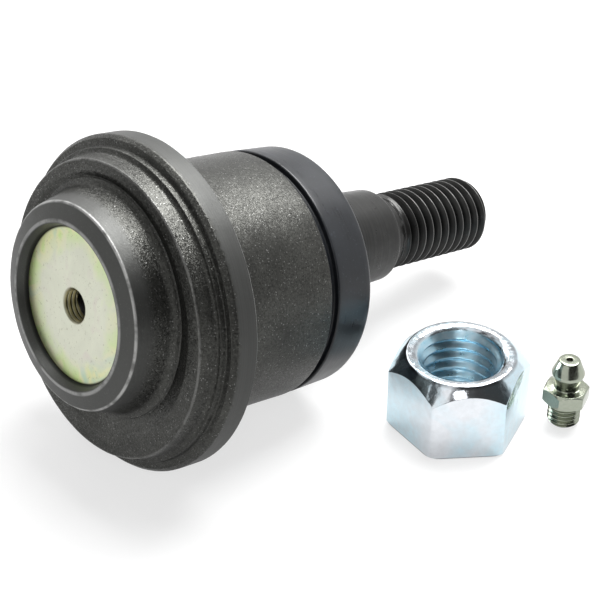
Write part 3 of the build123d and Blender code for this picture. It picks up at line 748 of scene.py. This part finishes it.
def edge_wear_and_highlights(finish, z, radius, nose_radius, sizes):
    """How bright the housing's outer edges are painted: rubbed wear, and painted highlights where the edges catch the
    light.
    """
    flange_rear = sizes.flange_span()[1]
    wear_and_highlight = 0.0
    for distance_out, edge_radius, edge_height, width, amount in (
        (nose_radius, sizes.rim_radius - 0.12 * MM, 0.05 * MM, 0.36 * MM, 0.8),
        (nose_radius, sizes.bead_radius - 0.15 * MM, -sizes.bead_rise, 0.45 * MM, 0.5),
        (radius, sizes.flange_radius - 0.12 * MM, flange_rear - 0.12 * MM, 0.26 * MM, 0.7),
        (radius, sizes.step_radius - 0.1 * MM, sizes.nose_height + 0.1 * MM, 0.3 * MM, 0.2),
    ):
        off = finish.radius(finish.minus(distance_out, edge_radius), finish.minus(z, edge_height))
        wear_and_highlight = finish.maths("MAXIMUM", wear_and_highlight, finish.level(off, width, 0.4 * width, 0.0, amount))
    patchy = finish.level(finish.noise(300.0, 4.0, 0.6), 0.36, 0.55, 0.25, 1.0)
    return finish.times(wear_and_highlight, patchy)


def forging_finish(colours, sizes):
    """Blasted dark skin that glints, with painted glint specks, smooth turned bands, edges rubbed bright with painted
    highlights, painted shade at the crimp and painted light on the rim's face.
    """
    finish = Finish("forging", colours.forging, 0.85, 0.4)
    x, y, z = finish.split()
    radius = finish.radius(x, y)
    nose_radius = finish.radius(finish.plus(x, sizes.socket_offset), y)
    flange_front, flange_rear = sizes.flange_span()

    wander = finish.sway(finish.noise(700.0), -0.35 * MM, 0.35 * MM)
    height = finish.plus(z, wander)
    rolled = finish.level(height, 2.2 * MM, 3.8 * MM, 0.85, 0.0)
    after_edge = finish.level(height, flange_front + 0.9 * MM, flange_front + 1.6 * MM)
    before_skin = finish.level(height, flange_rear + 2.2 * MM, flange_rear + 5.0 * MM, 1.0, 0.0)
    smooth = finish.maths("MAXIMUM", rolled, finish.times(after_edge, before_skin))

    grain = finish.noise(2600.0, 4.0, 0.65)
    mottle = finish.noise(110.0, 3.0, 0.6)
    blasted = finish.drift(colours.forging, 0.8, 1.25, mottle, 0.35, 0.65)
    blasted = finish.over(shade(colours.forging, 0.45), blasted, grain, 0.3, 0.6)
    # Painted glints: sparse bright specks stand in for grains that catch the light.
    blasted = finish.mix(finish.flecks(6000.0, 0.97, 0.99, 0.3), blasted, colours.wear_and_glint_tint)
    turned = finish.turning(4200.0, 4200.0, 0.7)
    steel = finish.drift(colours.machined, 0.9, 1.1, turned, 0.3, 0.7)
    # Painted light: the rim's face is painted lighter, standing in for the floor that it reflects.
    steel = finish.over(steel, shade(colours.machined, 1.35), z, 0.5 * MM, 0.1 * MM)
    tint = finish.mix(smooth, blasted, steel)
    # Painted shade in the crevice where the rim is crimped over the cover.
    crimp = sizes.crimp_radius
    tint = finish.over(tint, shade(colours.forging, 0.3), nose_radius, crimp + 0.3 * MM, crimp + 0.1 * MM)
    # Painted highlights and rubbed wear on the outer edges.
    wear_and_highlight = edge_wear_and_highlights(finish, z, radius, nose_radius, sizes)
    tint = finish.mix(wear_and_highlight, tint, colours.wear_and_glint_tint)

    coarse = finish.level(z, flange_front, flange_rear, 1.0, 0.5)
    hollows = finish.plus(grain, finish.times(finish.noise(700.0, 4.0, 0.6), coarse))
    dents = finish.bump(hollows, finish.blend(smooth, 0.3, 0.08), 0.05 * MM)
    lean = finish.times(finish.level(smooth, 0.0, 0.8, 0.36, 0.06), coarse)
    facing = finish.glints(6400.0, lean, dents)
    facing = finish.bump(turned, finish.blend(smooth, 0.0, 0.06), 0.006 * MM, facing)
    return finish.filled(tint, finish.blend(smooth, 0.37, 0.48), facing)


def cover_finish(colours, sizes):
    """Yellow zinc: pale in the middle, deeper at the rim and in the port, with a painted shade line where the rim
    holds the plate.
    """
    finish = Finish("yellow_zinc", colours.yellow_zinc, 0.9, 0.34)
    x, y, _ = finish.split()
    radius = finish.radius(x, y)
    drift = finish.noise(120.0, 3.0, 0.6, 0.8)
    bands = finish.noise(160.0, 2.0, 0.5, 1.2)
    edge = finish.over(colours.zinc_green, colours.zinc_gold, bands, 0.42, 0.52)
    edge = finish.over(edge, colours.zinc_teal, bands, 0.52, 0.68, 0.8)
    pale = finish.drift(colours.yellow_zinc, 1.0, 1.14, drift, 0.35, 0.7)
    pale = finish.over(pale, colours.zinc_rose, bands, 0.56, 0.7, 0.45)
    reach = finish.plus(radius, finish.sway(drift, -1.6 * MM, 1.6 * MM))
    tint = finish.over(pale, edge, reach, 9.4 * MM, 13.8 * MM)
    # Painted shade line round the plate, where the rim holds it.
    crimp_shade_edge = sizes.crimp_radius - 0.1 * MM
    tint = finish.over(tint, colours.crimp_shade, radius, crimp_shade_edge - 0.3 * MM, crimp_shade_edge)
    port = sizes.port_radius + 0.2 * MM
    tint = finish.over(tint, colours.brass_tint, radius, port + 0.5 * MM, port)
    speck = finish.noise(1900.0, 3.0, 0.6)
    tint = finish.over(tint, shade(colours.brass_tint, 0.8), speck, 0.62, 0.7, 0.35)
    stretch = {"Vector": finish.place(), "Scale": (3600.0, 260.0, 260.0)}
    rolled = finish.noise(1.0, 3.0, 0.6, vector=finish.node("ShaderNodeMapping", stretch).outputs[0])
    satin = finish.sway(drift, 0.3, 0.4)
    return finish.filled(tint, satin, finish.bump(rolled, 0.3, 0.01 * MM))


def stud_finish(colours, sizes):
    """Black oxide over turned steel, with painted shade in the thread's roots, and thread crests worn bright that also
    carry a painted highlight.
    """
    finish = Finish("black_oxide", colours.stud, 0.75, 0.36)
    x, y, z = finish.split()
    radius = finish.radius(x, y)
    start, pitch, crest = sizes.thread_start, sizes.thread_pitch, sizes.thread_radius
    marks = finish.turning(2600.0, 2600.0, 0.6)
    mottle = finish.noise(420.0, 3.0, 0.6)
    tint = finish.drift(colours.stud, 0.75, 1.3, marks, 0.3, 0.7)
    tint = finish.over(tint, shade(colours.stud, 0.6), mottle, 0.4, 0.7, 0.5)
    # Painted shade: the thread's roots are painted nearly black.
    root = finish.level(radius, crest - 0.25 * MM, crest - 1.2 * MM)
    root = finish.times(root, finish.level(z, start, start + pitch))
    tint = finish.mix(root, tint, shade(colours.stud, 0.15))
    # Crests worn bright, with a painted highlight on them.
    wear_and_highlight = finish.level(radius, crest - 0.08 * MM, crest - 0.01 * MM, 0.0, 0.6)
    wear_and_highlight = finish.times(wear_and_highlight, finish.level(z, start + 1.5 * pitch, start + 2.5 * pitch))
    tint = finish.mix(wear_and_highlight, tint, shade(colours.stud, 5.0))
    satin = finish.sway(mottle, 0.26, 0.38)
    relief = finish.plus(marks, finish.times(finish.noise(5200.0, 2.0), 0.4))
    return finish.filled(tint, satin, finish.bump(relief, 0.25, 0.012 * MM))


def rubber_finish(colours):
    """Satin moulded rubber with faint scuffs and dust."""
    finish = Finish("boot_rubber", colours.rubber, 0.0, 0.36, Specular_IOR_Level=0.4)
    bloom = finish.noise(150.0, 4.0, 0.6)
    streaks = finish.turning(900.0, 2600.0, 0.7)
    tint = finish.drift(colours.rubber, 0.82, 1.35, bloom, 0.35, 0.7)
    tint = finish.over(tint, shade(colours.rubber, 1.9), streaks, 0.5, 0.75, 0.35)
    dust = finish.flecks(3800.0, 0.965, 0.99, 0.35)
    tint = finish.mix(dust, tint, shade(colours.rubber, 5.0))
    satin = finish.level(finish.plus(bloom, streaks), 0.7, 1.3, 0.25, 0.42)
    return finish.filled(tint, satin, finish.bump(finish.noise(2400.0), 0.2, 0.015 * MM))


def plated_finish(name, tints, bore, grain_scale, roughness, bump_depth, crown=None):
    """Zinc plating with drifting colour, a faint grain, painted shade in the bore, a painted shadow line at the foot,
    and painted reflection on two sides and on the crowned land.
    """
    tint, second, bore_shade = tints
    finish = Finish(name, tint, 1.0, roughness)
    fine = finish.noise(grain_scale, 4.0, 0.6)
    x, y, z = finish.split()
    base = finish.over(tint, second, finish.noise(90.0, 3.0, 0.55, 0.6), 0.4, 0.68)
    # Painted reflection: the faces on the two sides, left and right as the camera sees them, take the second tint, and
    # the front stays pale.
    painted_reflection_side = finish.minus(finish.times(x, 0.75), finish.times(y, 0.66))
    base = finish.over(base, second, finish.maths("ABSOLUTE", painted_reflection_side), 4.0 * MM, 10.0 * MM, 0.7)
    # Painted shade inside the bore.
    inside = finish.level(finish.radius(x, y), bore, bore + 0.4 * MM, 1.0, 0.0)
    base = finish.mix(inside, base, bore_shade)
    # Painted shadow: a dark line round the foot, where the piece meets the floor.
    base = finish.over(base, shade(tint, 0.3), z, 0.35 * MM, 0.1 * MM)
    # Painted reflection: dark patches on the crowned land stand in for the dark surroundings that it mirrors.
    if crown:
        mottled = finish.level(finish.noise(260.0, 3.0, 0.6), 0.38, 0.6, 0.3, 0.9)
        land = finish.times(finish.level(z, crown - 0.7 * MM, crown - 0.3 * MM), mottled)
        base = finish.mix(land, base, shade(tint, 0.3))
    base = finish.over(base, shade(tint, 0.8), fine, 0.35, 0.65, 0.35)
    satin = finish.sway(fine, roughness * 0.8, roughness * 1.25)
    satin = finish.plus(satin, finish.times(inside, 0.16))
    broad = finish.bump(finish.noise(320.0, 2.0), 0.9, bump_depth * 8)
    return finish.filled(base, satin, finish.bump(fine, 0.35, bump_depth, broad))


def steel_finish(name, tint, roughness, grain_scale, solid=True):
    """Bare or sintered steel of the pieces inside."""
    finish = Finish(name, tint, 0.9, roughness, solid)
    grain = finish.noise(grain_scale, 4.0, 0.65)
    satin = finish.sway(grain, roughness * 0.8, roughness * 1.2)
    mottled = finish.drift(tint, 0.7, 1.2, grain, 0.3, 0.7)
    return finish.filled(mottled, satin, finish.bump(grain, 0.3, 0.01 * MM))


# --- Housing and cover --------------------------------------------------------
def forging_skin(point):
    """Slight unevenness of the forged surfaces."""
    return noise.fractal(point * 260.0, 0.9, 2.0, 3) * 0.03 * MM


class BALLJOINT_OT_housing(bpy.types.Operator):
    """Add the forged housing"""

    bl_idname = "ball_joint.housing"
    bl_label = "Housing"

    def execute(self, context):
        sizes, stud = context.scene.joint_housing, context.scene.joint_stud
        off, bead = sizes.socket_offset, -sizes.bead_rise
        foot, step, flange = sizes.nose_foot, sizes.step_radius, sizes.flange_radius
        barrel, spigot, bore = sizes.barrel_radius, sizes.spigot_radius, sizes.bore_radius
        seat, crimp = sizes.cover_radius + 0.05 * MM, sizes.crimp_radius
        step_face, barrel_end = sizes.nose_height, sizes.barrel_end
        flange_front, flange_rear = sizes.flange_span()
        spigot_end = barrel_end + sizes.spigot_length
        race_end = stud.ball_height + sizes.race_depth
        corners = [
            (sizes.mouth_radius, bead, 0.12 * MM, off),
            (sizes.bead_radius, bead, sizes.bead_round, off),
            (sizes.rim_radius, 0.0, sizes.rim_round, off),
            (foot - 0.2 * MM, step_face + 0.3 * MM, 1.6 * MM, off),
            (foot + 0.75 * MM, step_face + 0.35 * MM, 0.12 * MM, off),
            (foot + 1.1 * MM, step_face + 0.75 * MM, 0.15 * MM, off),
            (foot + 3.4 * MM, step_face, 1.5 * MM, 0.5 * off),
            (step, step_face, 0.4 * MM),
            (step + 0.5 * MM, flange_front - 1.1 * MM, 0.8 * MM),
            (step + 1.5 * MM, flange_front - 1.0 * MM, 0.2 * MM),
            (step + 1.75 * MM, flange_front, 0.3 * MM),
            (flange - 0.75 * MM, flange_front, 0.3 * MM),
            (flange, flange_front + 0.9 * MM, 0.7 * MM),
            (flange, flange_rear - 0.3 * MM, 0.1 * MM),
            (flange - 0.3 * MM, flange_rear, 0.1 * MM),
            (barrel, flange_rear, 0.4 * MM),
            (barrel, barrel_end - 0.6 * MM, 0.3 * MM),
            (barrel - 0.6 * MM, barrel_end, 0.15 * MM),
            (spigot, barrel_end),
            (spigot, spigot_end, 0.3 * MM),
            (sizes.spigot_mouth, spigot_end, 0.3 * MM, off),
            (sizes.race_opening, race_end, 0.0, off),
            (bore, race_end, 0.0, off),
            (bore, sizes.cover_base, 0.0, off),
            (seat, sizes.cover_base, 0.0, off),
            (seat, sizes.cover_top, 0.0, off),
            (crimp, sizes.cover_top, 0.0, off),
        ]
        body = lathe(240, rounded(corners, closed=True, longest=1.1 * MM))
        finish = forging_finish(context.scene.joint_colours, sizes)
        made = piece("housing_forging", press_frame(), finish, "forged_housing", [body], forging_skin)
        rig.replaces(made, "housing")
        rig.ride(made, "housing")
        return {"FINISHED"}


class BALLJOINT_OT_cover(bpy.types.Operator):
    """Add the cover plate with its threaded grease port"""

    bl_idname = "ball_joint.cover"
    bl_label = "Cover plate"

    def execute(self, context):
        sizes = context.scene.joint_housing
        top, base = sizes.cover_top, sizes.cover_base
        port, rim = sizes.port_radius, sizes.cover_radius
        lead_in, chamfer = 0.5 * MM, 0.3 * MM
        corners = [
            (port + lead_in, top),
            (rim - chamfer, top, 0.1 * MM),
            (rim, top + chamfer, 0.1 * MM),
            (rim, base - chamfer),
            (rim - chamfer, base),
            (port, base),
        ]

        def radius_at(height, fill):
            return max(port + (1 - fill) * sizes.port_depth, port + lead_in - (height - top))

        skins = [
            lathe(144, rounded(corners, longest=0.8 * MM), closed=False),
            thread(even_turn(144), sizes.port_pitch, top, base, radius_at),
        ]
        finish = cover_finish(context.scene.joint_colours, sizes)
        made = piece("cover_disc", socket_frame(), finish, "yellow_zinc", skins)
        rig.replaces(made, "cover_plate")
        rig.ride(made, "housing")
        return {"FINISHED"}


# --- Stud ---------------------------------------------------------------------
class BALLJOINT_OT_stud(bpy.types.Operator):
    """Add the ball stud with its thread"""

    bl_idname = "ball_joint.stud"
    bl_label = "Ball stud"

    def execute(self, context):
        sizes = context.scene.joint_stud
        ball, flat, neck = sizes.ball_radius, sizes.flat_radius, sizes.neck_radius
        start, end = sizes.thread_start, sizes.thread_end
        crest, pitch = sizes.thread_radius, sizes.thread_pitch
        runout, tip = crest - sizes.runout_step, crest - sizes.tip_chamfer
        low_turn = atan2(-sqrt(ball ** 2 - flat ** 2), flat)
        high_turn = atan2(sqrt(ball ** 2 - neck ** 2), neck)
        bends = [low_turn + (high_turn - low_turn) * step / 48 for step in range(49)]
        arc = [(ball * cos(bend), sizes.ball_height + ball * sin(bend)) for bend in bends]
        corners = [
            (0.0, arc[0][1]),
            *arc,
            (neck, sizes.neck_end, 1.5 * MM),
            (sizes.seat_radius, sizes.seat_start, 1.0 * MM),
            (sizes.seat_radius, sizes.seat_end, 0.3 * MM),
            (sizes.shoulder_radius, sizes.shoulder_start, 0.5 * MM),
            (sizes.shoulder_end_radius, sizes.shoulder_end, 1.0 * MM),
            (runout, start - sizes.runout_length, 1.0 * MM),
            (runout, start),
        ]
        tip_corners = [
            (tip, end),
            (sizes.centre_hole, end, 0.2 * MM),
            (0.0, end - sizes.centre_hole),
        ]

        def radius_at(height, fill):
            fade = min(1.0, (height - start) / pitch)
            cut = crest - (1 - fill) * DEPTH_PER_PITCH * pitch * fade
            return min(runout + (height - start), tip + (end - height), cut)

        skins = [
            lathe(144, rounded(corners, longest=1.2 * MM), closed=False),
            thread(even_turn(144), pitch, start, end, radius_at),
            lathe(144, rounded(tip_corners, longest=1.2 * MM), closed=False),
        ]
        finish = stud_finish(context.scene.joint_colours, sizes)
        made = piece("stud_forging", socket_frame(), finish, "stud_black", skins)
        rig.replaces(made, "ball_stud")
        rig.ride(made, "stud")
        return {"FINISHED"}


# --- Boot ---------------------------------------------------------------------
def smooth_path(points, steps=6):
    """Even curve through points, each (radius, height, shift)."""
    full = [points[0]] + list(points) + [points[-1]]
    path = []
    for first, start, end, last in zip(full, full[1:], full[2:], full[3:]):
        for step in range(steps):
            t = step / steps
            path.append(tuple(
                0.5 * (
                    2 * b
                    + (c - a) * t
                    + (2 * a - 5 * b + 4 * c - d) * t ** 2
                    + (3 * b - a - 3 * c + d) * t ** 3
                )
                for a, b, c, d in zip(first, start, end, last)
            ))
    return path + [points[-1]]


def wall(path, thickness):
    """Closed outline of a wall that follows a path."""
    sides = [[], []]
    for index, (radius, height, shift) in enumerate(path):
        before, after = path[max(index - 1, 0)], path[min(index + 1, len(path) - 1)]
        run = Vector((after[0] - before[0], after[1] - before[1])).normalized()
        for side, way in zip(sides, (0.5, -0.5)):
            side.append((radius - run.y * thickness * way, height + run.x * thickness * way, shift))
    return sides[0] + sides[1][::-1]


# Middle of the skirt's wall in millimetres: radius, height, and share of the socket's offset.
SKIRT_LINE = (
    (21.0, 45.75, 0.0), (19.6, 46.0, 0.0), (17.6, 46.8, 0.2), (15.8, 48.0, 0.35),
    (14.35, 49.15, 0.5), (13.4, 50.6, 0.75), (12.75, 52.4, 1.0), (11.75, 53.8, 1.0),
)
# Point of the smooth path along it where the skirt's two halves meet.
SKIRT_SPLIT = 19
GARTER_TURNS = 190


def boot_ring(sizes, housing, rubber):
    """Outer ring, seated against the barrel's end over the steel insert's flange."""
    bore, groove, outside = sizes.ring_bore, sizes.groove_radius, sizes.ring_radius
    corners = [
        (bore, housing.barrel_end),
        (groove, housing.barrel_end, 0.1 * MM),
        (groove, sizes.ring_start, 0.25 * MM),
        (outside, sizes.ring_start, 0.35 * MM),
        (outside - sizes.ring_draft, sizes.ring_end, 1.0 * MM),
        (bore, sizes.ring_end, 1.0 * MM),
        (bore, sizes.insert_rear),
        (sizes.insert_radius, sizes.insert_rear),
        (sizes.insert_radius, sizes.insert_front),
        (bore, sizes.insert_front),
    ]
    ring_skin = lathe(192, rounded(corners, closed=True, longest=1.0 * MM))
    ring = piece("boot_ring", press_frame(), rubber, "boot_rubber", [ring_skin])
    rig.replaces(ring, "boot_base")
    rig.ride(ring, "housing")


def boot_skirt(sizes, housing, rubber):
    """Soft wall from the ring to the lip, in two halves that each bend over one joint."""
    press, off = press_frame(), housing.socket_offset
    whole = smooth_path([(out * MM, high * MM, part * off) for out, high, part in SKIRT_LINE])
    for name, path, bodies in (
        ("boot_skirt_outer", whole[:SKIRT_SPLIT + 1], ("housing", "boot_fold")),
        ("boot_skirt_inner", whole[SKIRT_SPLIT:], ("boot_fold", "boot_lip")),
    ):
        skirt_skin = lathe(144, wall(path, sizes.skirt_wall))
        made = piece(name, press, rubber, "boot_rubber", [skirt_skin])
        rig.replaces(made, "boot_bellows")
        start, end = (press @ Vector((0, 0, path[index][1])) for index in (0, -1))
        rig.blend(made, *bodies, start, end)


def boot_lip(sizes, rubber):
    """Sealing lip, with the groove that its garter spring lies in."""
    bore, outside = sizes.lip_bore, sizes.lip_radius
    flange = outside + sizes.flange_width
    flange_foot = sizes.lip_end - sizes.flange_thickness
    groove, groove_width = sizes.garter_height, sizes.garter_radius
    corners = [
        (bore, sizes.lip_start, 0.3 * MM),
        (outside, sizes.lip_start, 0.3 * MM),
        (outside, groove - groove_width, 0.1 * MM),
        (outside - 1.5 * groove_width, groove, 0.4 * MM),
        (outside, groove + groove_width, 0.1 * MM),
        (outside, flange_foot, 0.1 * MM),
        (flange, flange_foot, 0.15 * MM),
        (flange, sizes.lip_end, 0.4 * MM),
        (bore, sizes.lip_end, 0.4 * MM),
    ]
    lip_skin = lathe(144, rounded(corners, closed=True, longest=0.6 * MM))
    lip = piece("boot_lip_seal", socket_frame(), rubber, "boot_rubber", [lip_skin])
    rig.replaces(lip, "boot_lip")
    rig.ride(lip, "boot_lip")


def garter_spring(sizes, colours):
    """Ring of fine coils that holds the lip on the stud."""
    steel = steel_finish("garter_steel", colours.spring_steel, 0.35, 2500.0, solid=False)
    wire = sizes.garter_wire
    winding = sizes.garter_radius - wire
    coils = coil(sizes.garter_track, winding, wire, GARTER_TURNS, sizes.garter_height)
    garter = piece("garter_coils", socket_frame(), steel, "spring_steel", [coils], sharp=60.0)
    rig.replaces(garter, "boot_garter_spring")
    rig.ride(garter, "boot_lip")


class BALLJOINT_OT_boot(bpy.types.Operator):
    """Add the boot: ring, skirt, lip and garter spring"""

    bl_idname = "ball_joint.boot"
    bl_label = "Boot"

    def execute(self, context):
        sizes, housing = context.scene.joint_boot, context.scene.joint_housing
        colours = context.scene.joint_colours
        rubber = rubber_finish(colours)
        boot_ring(sizes, housing, rubber)
        boot_skirt(sizes, housing, rubber)
        boot_lip(sizes, rubber)
        garter_spring(sizes, colours)
        return {"FINISHED"}


# --- Nut ----------------------------------------------------------------------
class BALLJOINT_OT_nut(bpy.types.Operator):
    """Add the stud nut with its thread"""

    bl_idname = "ball_joint.nut"
    bl_label = "Stud nut"

    def execute(self, context):
        sizes, colours = context.scene.joint_nut, context.scene.joint_colours
        turns = hexagon_turn(sizes.half_flats, sizes.corner_round, 16)
        mouth = sizes.bore + sizes.sink
        mouth_height = sizes.height - 0.5 * MM

        def outline_at(turn):
            side = hexagon_radius(turn, sizes.half_flats, sizes.corner_round)
            foot = min(sizes.base_land, side - 0.1 * MM)
            drop = (side - sizes.top_land) * tan(sizes.top_bevel)
            corners = [
                (mouth, 0.0),
                (foot, 0.0, 0.04 * MM),
                (side, (side - foot) * tan(sizes.base_bevel), 0.03 * MM),
                (side, sizes.height - drop, 0.25 * MM),
                (sizes.top_land - 0.1 * MM, sizes.height - 0.05 * MM, 0.9 * MM),
                (mouth + 0.35 * MM, sizes.height - 0.1 * MM, 0.6 * MM),
                (mouth - 0.4 * MM, mouth_height),
            ]
            return rounded(corners, steps=4)

        def radius_at(height, fill):
            high = mouth + 0.1 * MM - (sizes.height - height)
            return max(mouth - height, high, sizes.bore + (1 - fill) * sizes.thread_depth)

        skins = [
            skin(turns, outline_at, closed=False),
            thread(turns, context.scene.joint_stud.thread_pitch, 0.0, mouth_height, radius_at),
        ]
        tints = colours.blue_zinc, colours.blue_drift_and_reflection, colours.bore_shade_zinc
        bore = sizes.bore + 1.1 * MM
        finish = plated_finish("blue_zinc", tints, bore, 700.0, 0.13, 0.015 * MM, sizes.height)
        made = piece("stud_nut", standing_frame("hex_nut", sizes.turn), finish, "blue_zinc", skins)
        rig.replaces(made, "hex_nut")
        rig.ride(made, "nut")
        return {"FINISHED"}


# --- Grease fitting -----------------------------------------------------------
class BALLJOINT_OT_fitting(bpy.types.Operator):
    """Add the grease fitting's body with its thread"""

    bl_idname = "ball_joint.fitting"
    bl_label = "Grease fitting"

    def execute(self, context):
        sizes, colours = context.scene.joint_fitting, context.scene.joint_colours
        turns = hexagon_turn(sizes.half_flats, sizes.corner_round, 12)
        crest, land, neck = sizes.thread_radius, sizes.hex_land, sizes.neck_radius
        tip = crest - sizes.tip_chamfer
        hex_foot = sizes.thread_length
        hex_top = hex_foot + sizes.hex_height
        head_foot = hex_top + sizes.neck_height
        top = head_foot + sizes.head_height
        seat = top - sizes.orifice_depth

        def outline_at(turn):
            side = hexagon_radius(turn, sizes.half_flats, sizes.corner_round)
            bevel = (side - land) * tan(pi / 6)
            corners = [
                (crest, hex_foot),
                (land, hex_foot, 0.05 * MM),
                (side, hex_foot + bevel, 0.08 * MM),
                (side, hex_top - bevel, 0.08 * MM),
                (land, hex_top, 0.05 * MM),
                (neck, hex_top, 0.25 * MM),
                (neck, head_foot, 0.3 * MM),
                (sizes.head_radius, top - sizes.head_cone, 1.0 * MM),
                (sizes.tip_radius, top, 0.4 * MM),
                (sizes.orifice, top, 0.1 * MM),
                (sizes.orifice, seat),
                (sizes.bore, seat - (sizes.bore - sizes.orifice)),
                (sizes.bore, sizes.foot_wall),
                (sizes.foot_hole, sizes.foot_wall),
                (sizes.foot_hole, 0.0),
                (tip, 0.0),
            ]
            return rounded(corners, steps=5)

        def radius_at(height, fill):
            fade = min(1.0, (hex_foot - height) / sizes.thread_pitch)
            depth = DEPTH_PER_PITCH * sizes.thread_pitch * fade
            return min(tip + height, crest - (1 - fill) * depth)

        skins = [
            skin(turns, outline_at, closed=False),
            thread(turns, sizes.thread_pitch, 0.0, hex_foot, radius_at),
        ]
        tints = colours.clear_zinc, colours.clear_drift_and_reflection, colours.orifice_shade
        finish = plated_finish("clear_zinc", tints, sizes.orifice, 1500.0, 0.15, 0.01 * MM)
        place = standing_frame("grease_fitting_body", sizes.turn)
        made = piece("fitting_body", place, finish, "clear_zinc", skins)
        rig.replaces(made, "grease_fitting_body")
        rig.ride(made, "fitting")
        return {"FINISHED"}


# --- Pieces inside ------------------------------------------------------------
class BALLJOINT_OT_inside(bpy.types.Operator):
    """Finish the bearings, springs, insert and check ball"""

    bl_idname = "ball_joint.inside"
    bl_label = "Pieces inside"

    def execute(self, context):
        colours = context.scene.joint_colours
        spring = steel_finish("spring_steel", colours.spring_steel, 0.32, 1800.0)
        bearing = steel_finish("bearing_steel", colours.bearing_steel, 0.45, 2800.0)
        for names, finish in (
            (("preload_spring", "boot_insert_ring", "grease_fitting_spring"), spring),
            (("lower_bearing", "upper_bearing", "grease_fitting_ball"), bearing),
        ):
            for name in names:
                node = frame["nodes"][name]
                node.data.materials.clear()
                node.data.materials.append(finish)
        return {"FINISHED"}


# --- Stage --------------------------------------------------------------------
def studio_world(stage):
    """Soft light all round, white to the camera, with two unlit parts that only reflections show."""
    world = bpy.data.worlds.new("studio")
    world.use_nodes = True
    nodes = Nodes(world.node_tree)
    way = nodes.place()
    patches = nodes.noise(5.0, 2.0, vector=way)
    room = 1.0
    for side, edge, gaps in ((stage.dark_front, 0.66, 0.1), (stage.dark_left, 0.84, 0.46)):
        towards = nodes.vectors("DOT_PRODUCT", {0: way, 1: Vector(side).normalized()}, "Value")
        inside = nodes.level(towards, edge, edge + 0.08)
        unlit = nodes.level(patches, gaps, gaps + 0.04, 0.0, inside)
        room = nodes.blend(unlit, room, stage.unlit)
    gloss = nodes.seen("Is Glossy Ray", "Is Transmission Ray")
    lit = nodes.blend(gloss, stage.world_light, room)
    background = nodes.tree.nodes["Background"]
    nodes.feed(background.inputs["Strength"], nodes.blend(nodes.seen("Is Camera Ray"), lit, 1.0))
    nodes.feed(background.inputs["Color"], WHITE)
    return world


def floor_paint(stage, colours):
    """Matt floor that glows towards white, fully so far from the middle."""
    paint = Finish(
        "floor", colours.floor, 0.0, 0.9, solid=True, Specular_IOR_Level=0.0, Emission_Color=WHITE
    )
    mirrored = paint.seen("Is Glossy Ray", "Is Transmission Ray")
    glow = paint.blend(mirrored, 0.0, stage.floor_mirror)
    far = paint.vectors("LENGTH", {0: paint.place()}, "Value")
    shown = paint.level(far, stage.glow_start, stage.glow_end, stage.floor_glow, 1.0)
    glow = paint.blend(paint.seen("Is Camera Ray"), glow, shown)
    paint.set("Emission Strength", glow)
    return paint.material


class BALLJOINT_OT_stage(bpy.types.Operator):
    """Add the floor, lamps, world and camera"""

    bl_idname = "ball_joint.stage"
    bl_label = "Stage"

    def execute(self, context):
        scene = context.scene
        stage = scene.joint_stage
        scene.world = studio_world(stage)

        mesh = bpy.data.meshes.new("floor")
        half = stage.floor_size / 2
        corners = [(-half, -half, 0), (half, -half, 0), (half, half, 0), (-half, half, 0)]
        mesh.from_pydata(corners, [], [(0, 1, 2, 3)])
        mesh.materials.append(floor_paint(stage, scene.joint_colours))
        floor = stand("floor", mesh)
        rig.stage(floor)

        for name, power, place, size in (
            ("key", stage.key_light, (0.28, 0.08, 0.63), 0.52),
            ("fill", stage.fill_light, (-0.27, -0.33, 0.42), 0.14),
            ("rim", stage.rim_light, (0.2, 0.62, 0.5), 0.4),
        ):
            lamp = bpy.data.lights.new(name, "AREA")
            lamp.energy = power
            lamp.size = size
            stand(name, lamp, place, (-Vector(place)).to_track_quat("-Z", "Y").to_euler())

        view = bpy.data.cameras.new("camera")
        view.lens = stage.lens
        view.sensor_width = 36.0
        turn = (stage.camera_pitch, 0.0, stage.camera_heading)
        scene.camera = stand("camera", view, stage.camera_place, turn)
        scene.view_settings.view_transform = "Standard"
        return {"FINISHED"}


class BALLJOINT_PT_panel(bpy.types.Panel):
    """Operators of the ball joint"""

    bl_label = "Ball joint"
    bl_idname = "BALLJOINT_PT_panel"
    bl_space_type = "VIEW_3D"
    bl_region_type = "UI"
    bl_category = "Ball joint"

    def draw(self, context):
        for operator in OPERATORS:
            self.layout.operator(operator.bl_idname)


SETTINGS = {
    "joint_housing": HousingSizes,
    "joint_stud": StudSizes,
    "joint_boot": BootSizes,
    "joint_nut": NutSizes,
    "joint_fitting": FittingSizes,
    "joint_colours": FinishColours,
    "joint_stage": StageSettings,
}
OPERATORS = (
    BALLJOINT_OT_housing,
    BALLJOINT_OT_cover,
    BALLJOINT_OT_stud,
    BALLJOINT_OT_boot,
    BALLJOINT_OT_nut,
    BALLJOINT_OT_fitting,
    BALLJOINT_OT_inside,
    BALLJOINT_OT_stage,
)


def register():
    for name, group in SETTINGS.items():
        bpy.utils.register_class(group)
        setattr(bpy.types.Scene, name, PointerProperty(type=group))
    for operator in OPERATORS:
        bpy.utils.register_class(operator)
    bpy.utils.register_class(BALLJOINT_PT_panel)


def unregister():
    bpy.utils.unregister_class(BALLJOINT_PT_panel)
    for operator in reversed(OPERATORS):
        bpy.utils.unregister_class(operator)
    for name, group in SETTINGS.items():
        delattr(bpy.types.Scene, name)
        bpy.utils.unregister_class(group)


def main():
    register()
    bpy.ops.ball_joint.housing()
    bpy.ops.ball_joint.cover()
    bpy.ops.ball_joint.stud()
    bpy.ops.ball_joint.boot()
    bpy.ops.ball_joint.nut()
    bpy.ops.ball_joint.fitting()
    bpy.ops.ball_joint.inside()
    bpy.ops.ball_joint.stage()
    sizes = {"cad": [list(corner) for corner in CAD_BOX], "visual": [list(corner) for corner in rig.bounds()]}
    with open("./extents.json", "w") as out:
        json.dump(sizes, out)


if __name__ == "__main__":
    main()
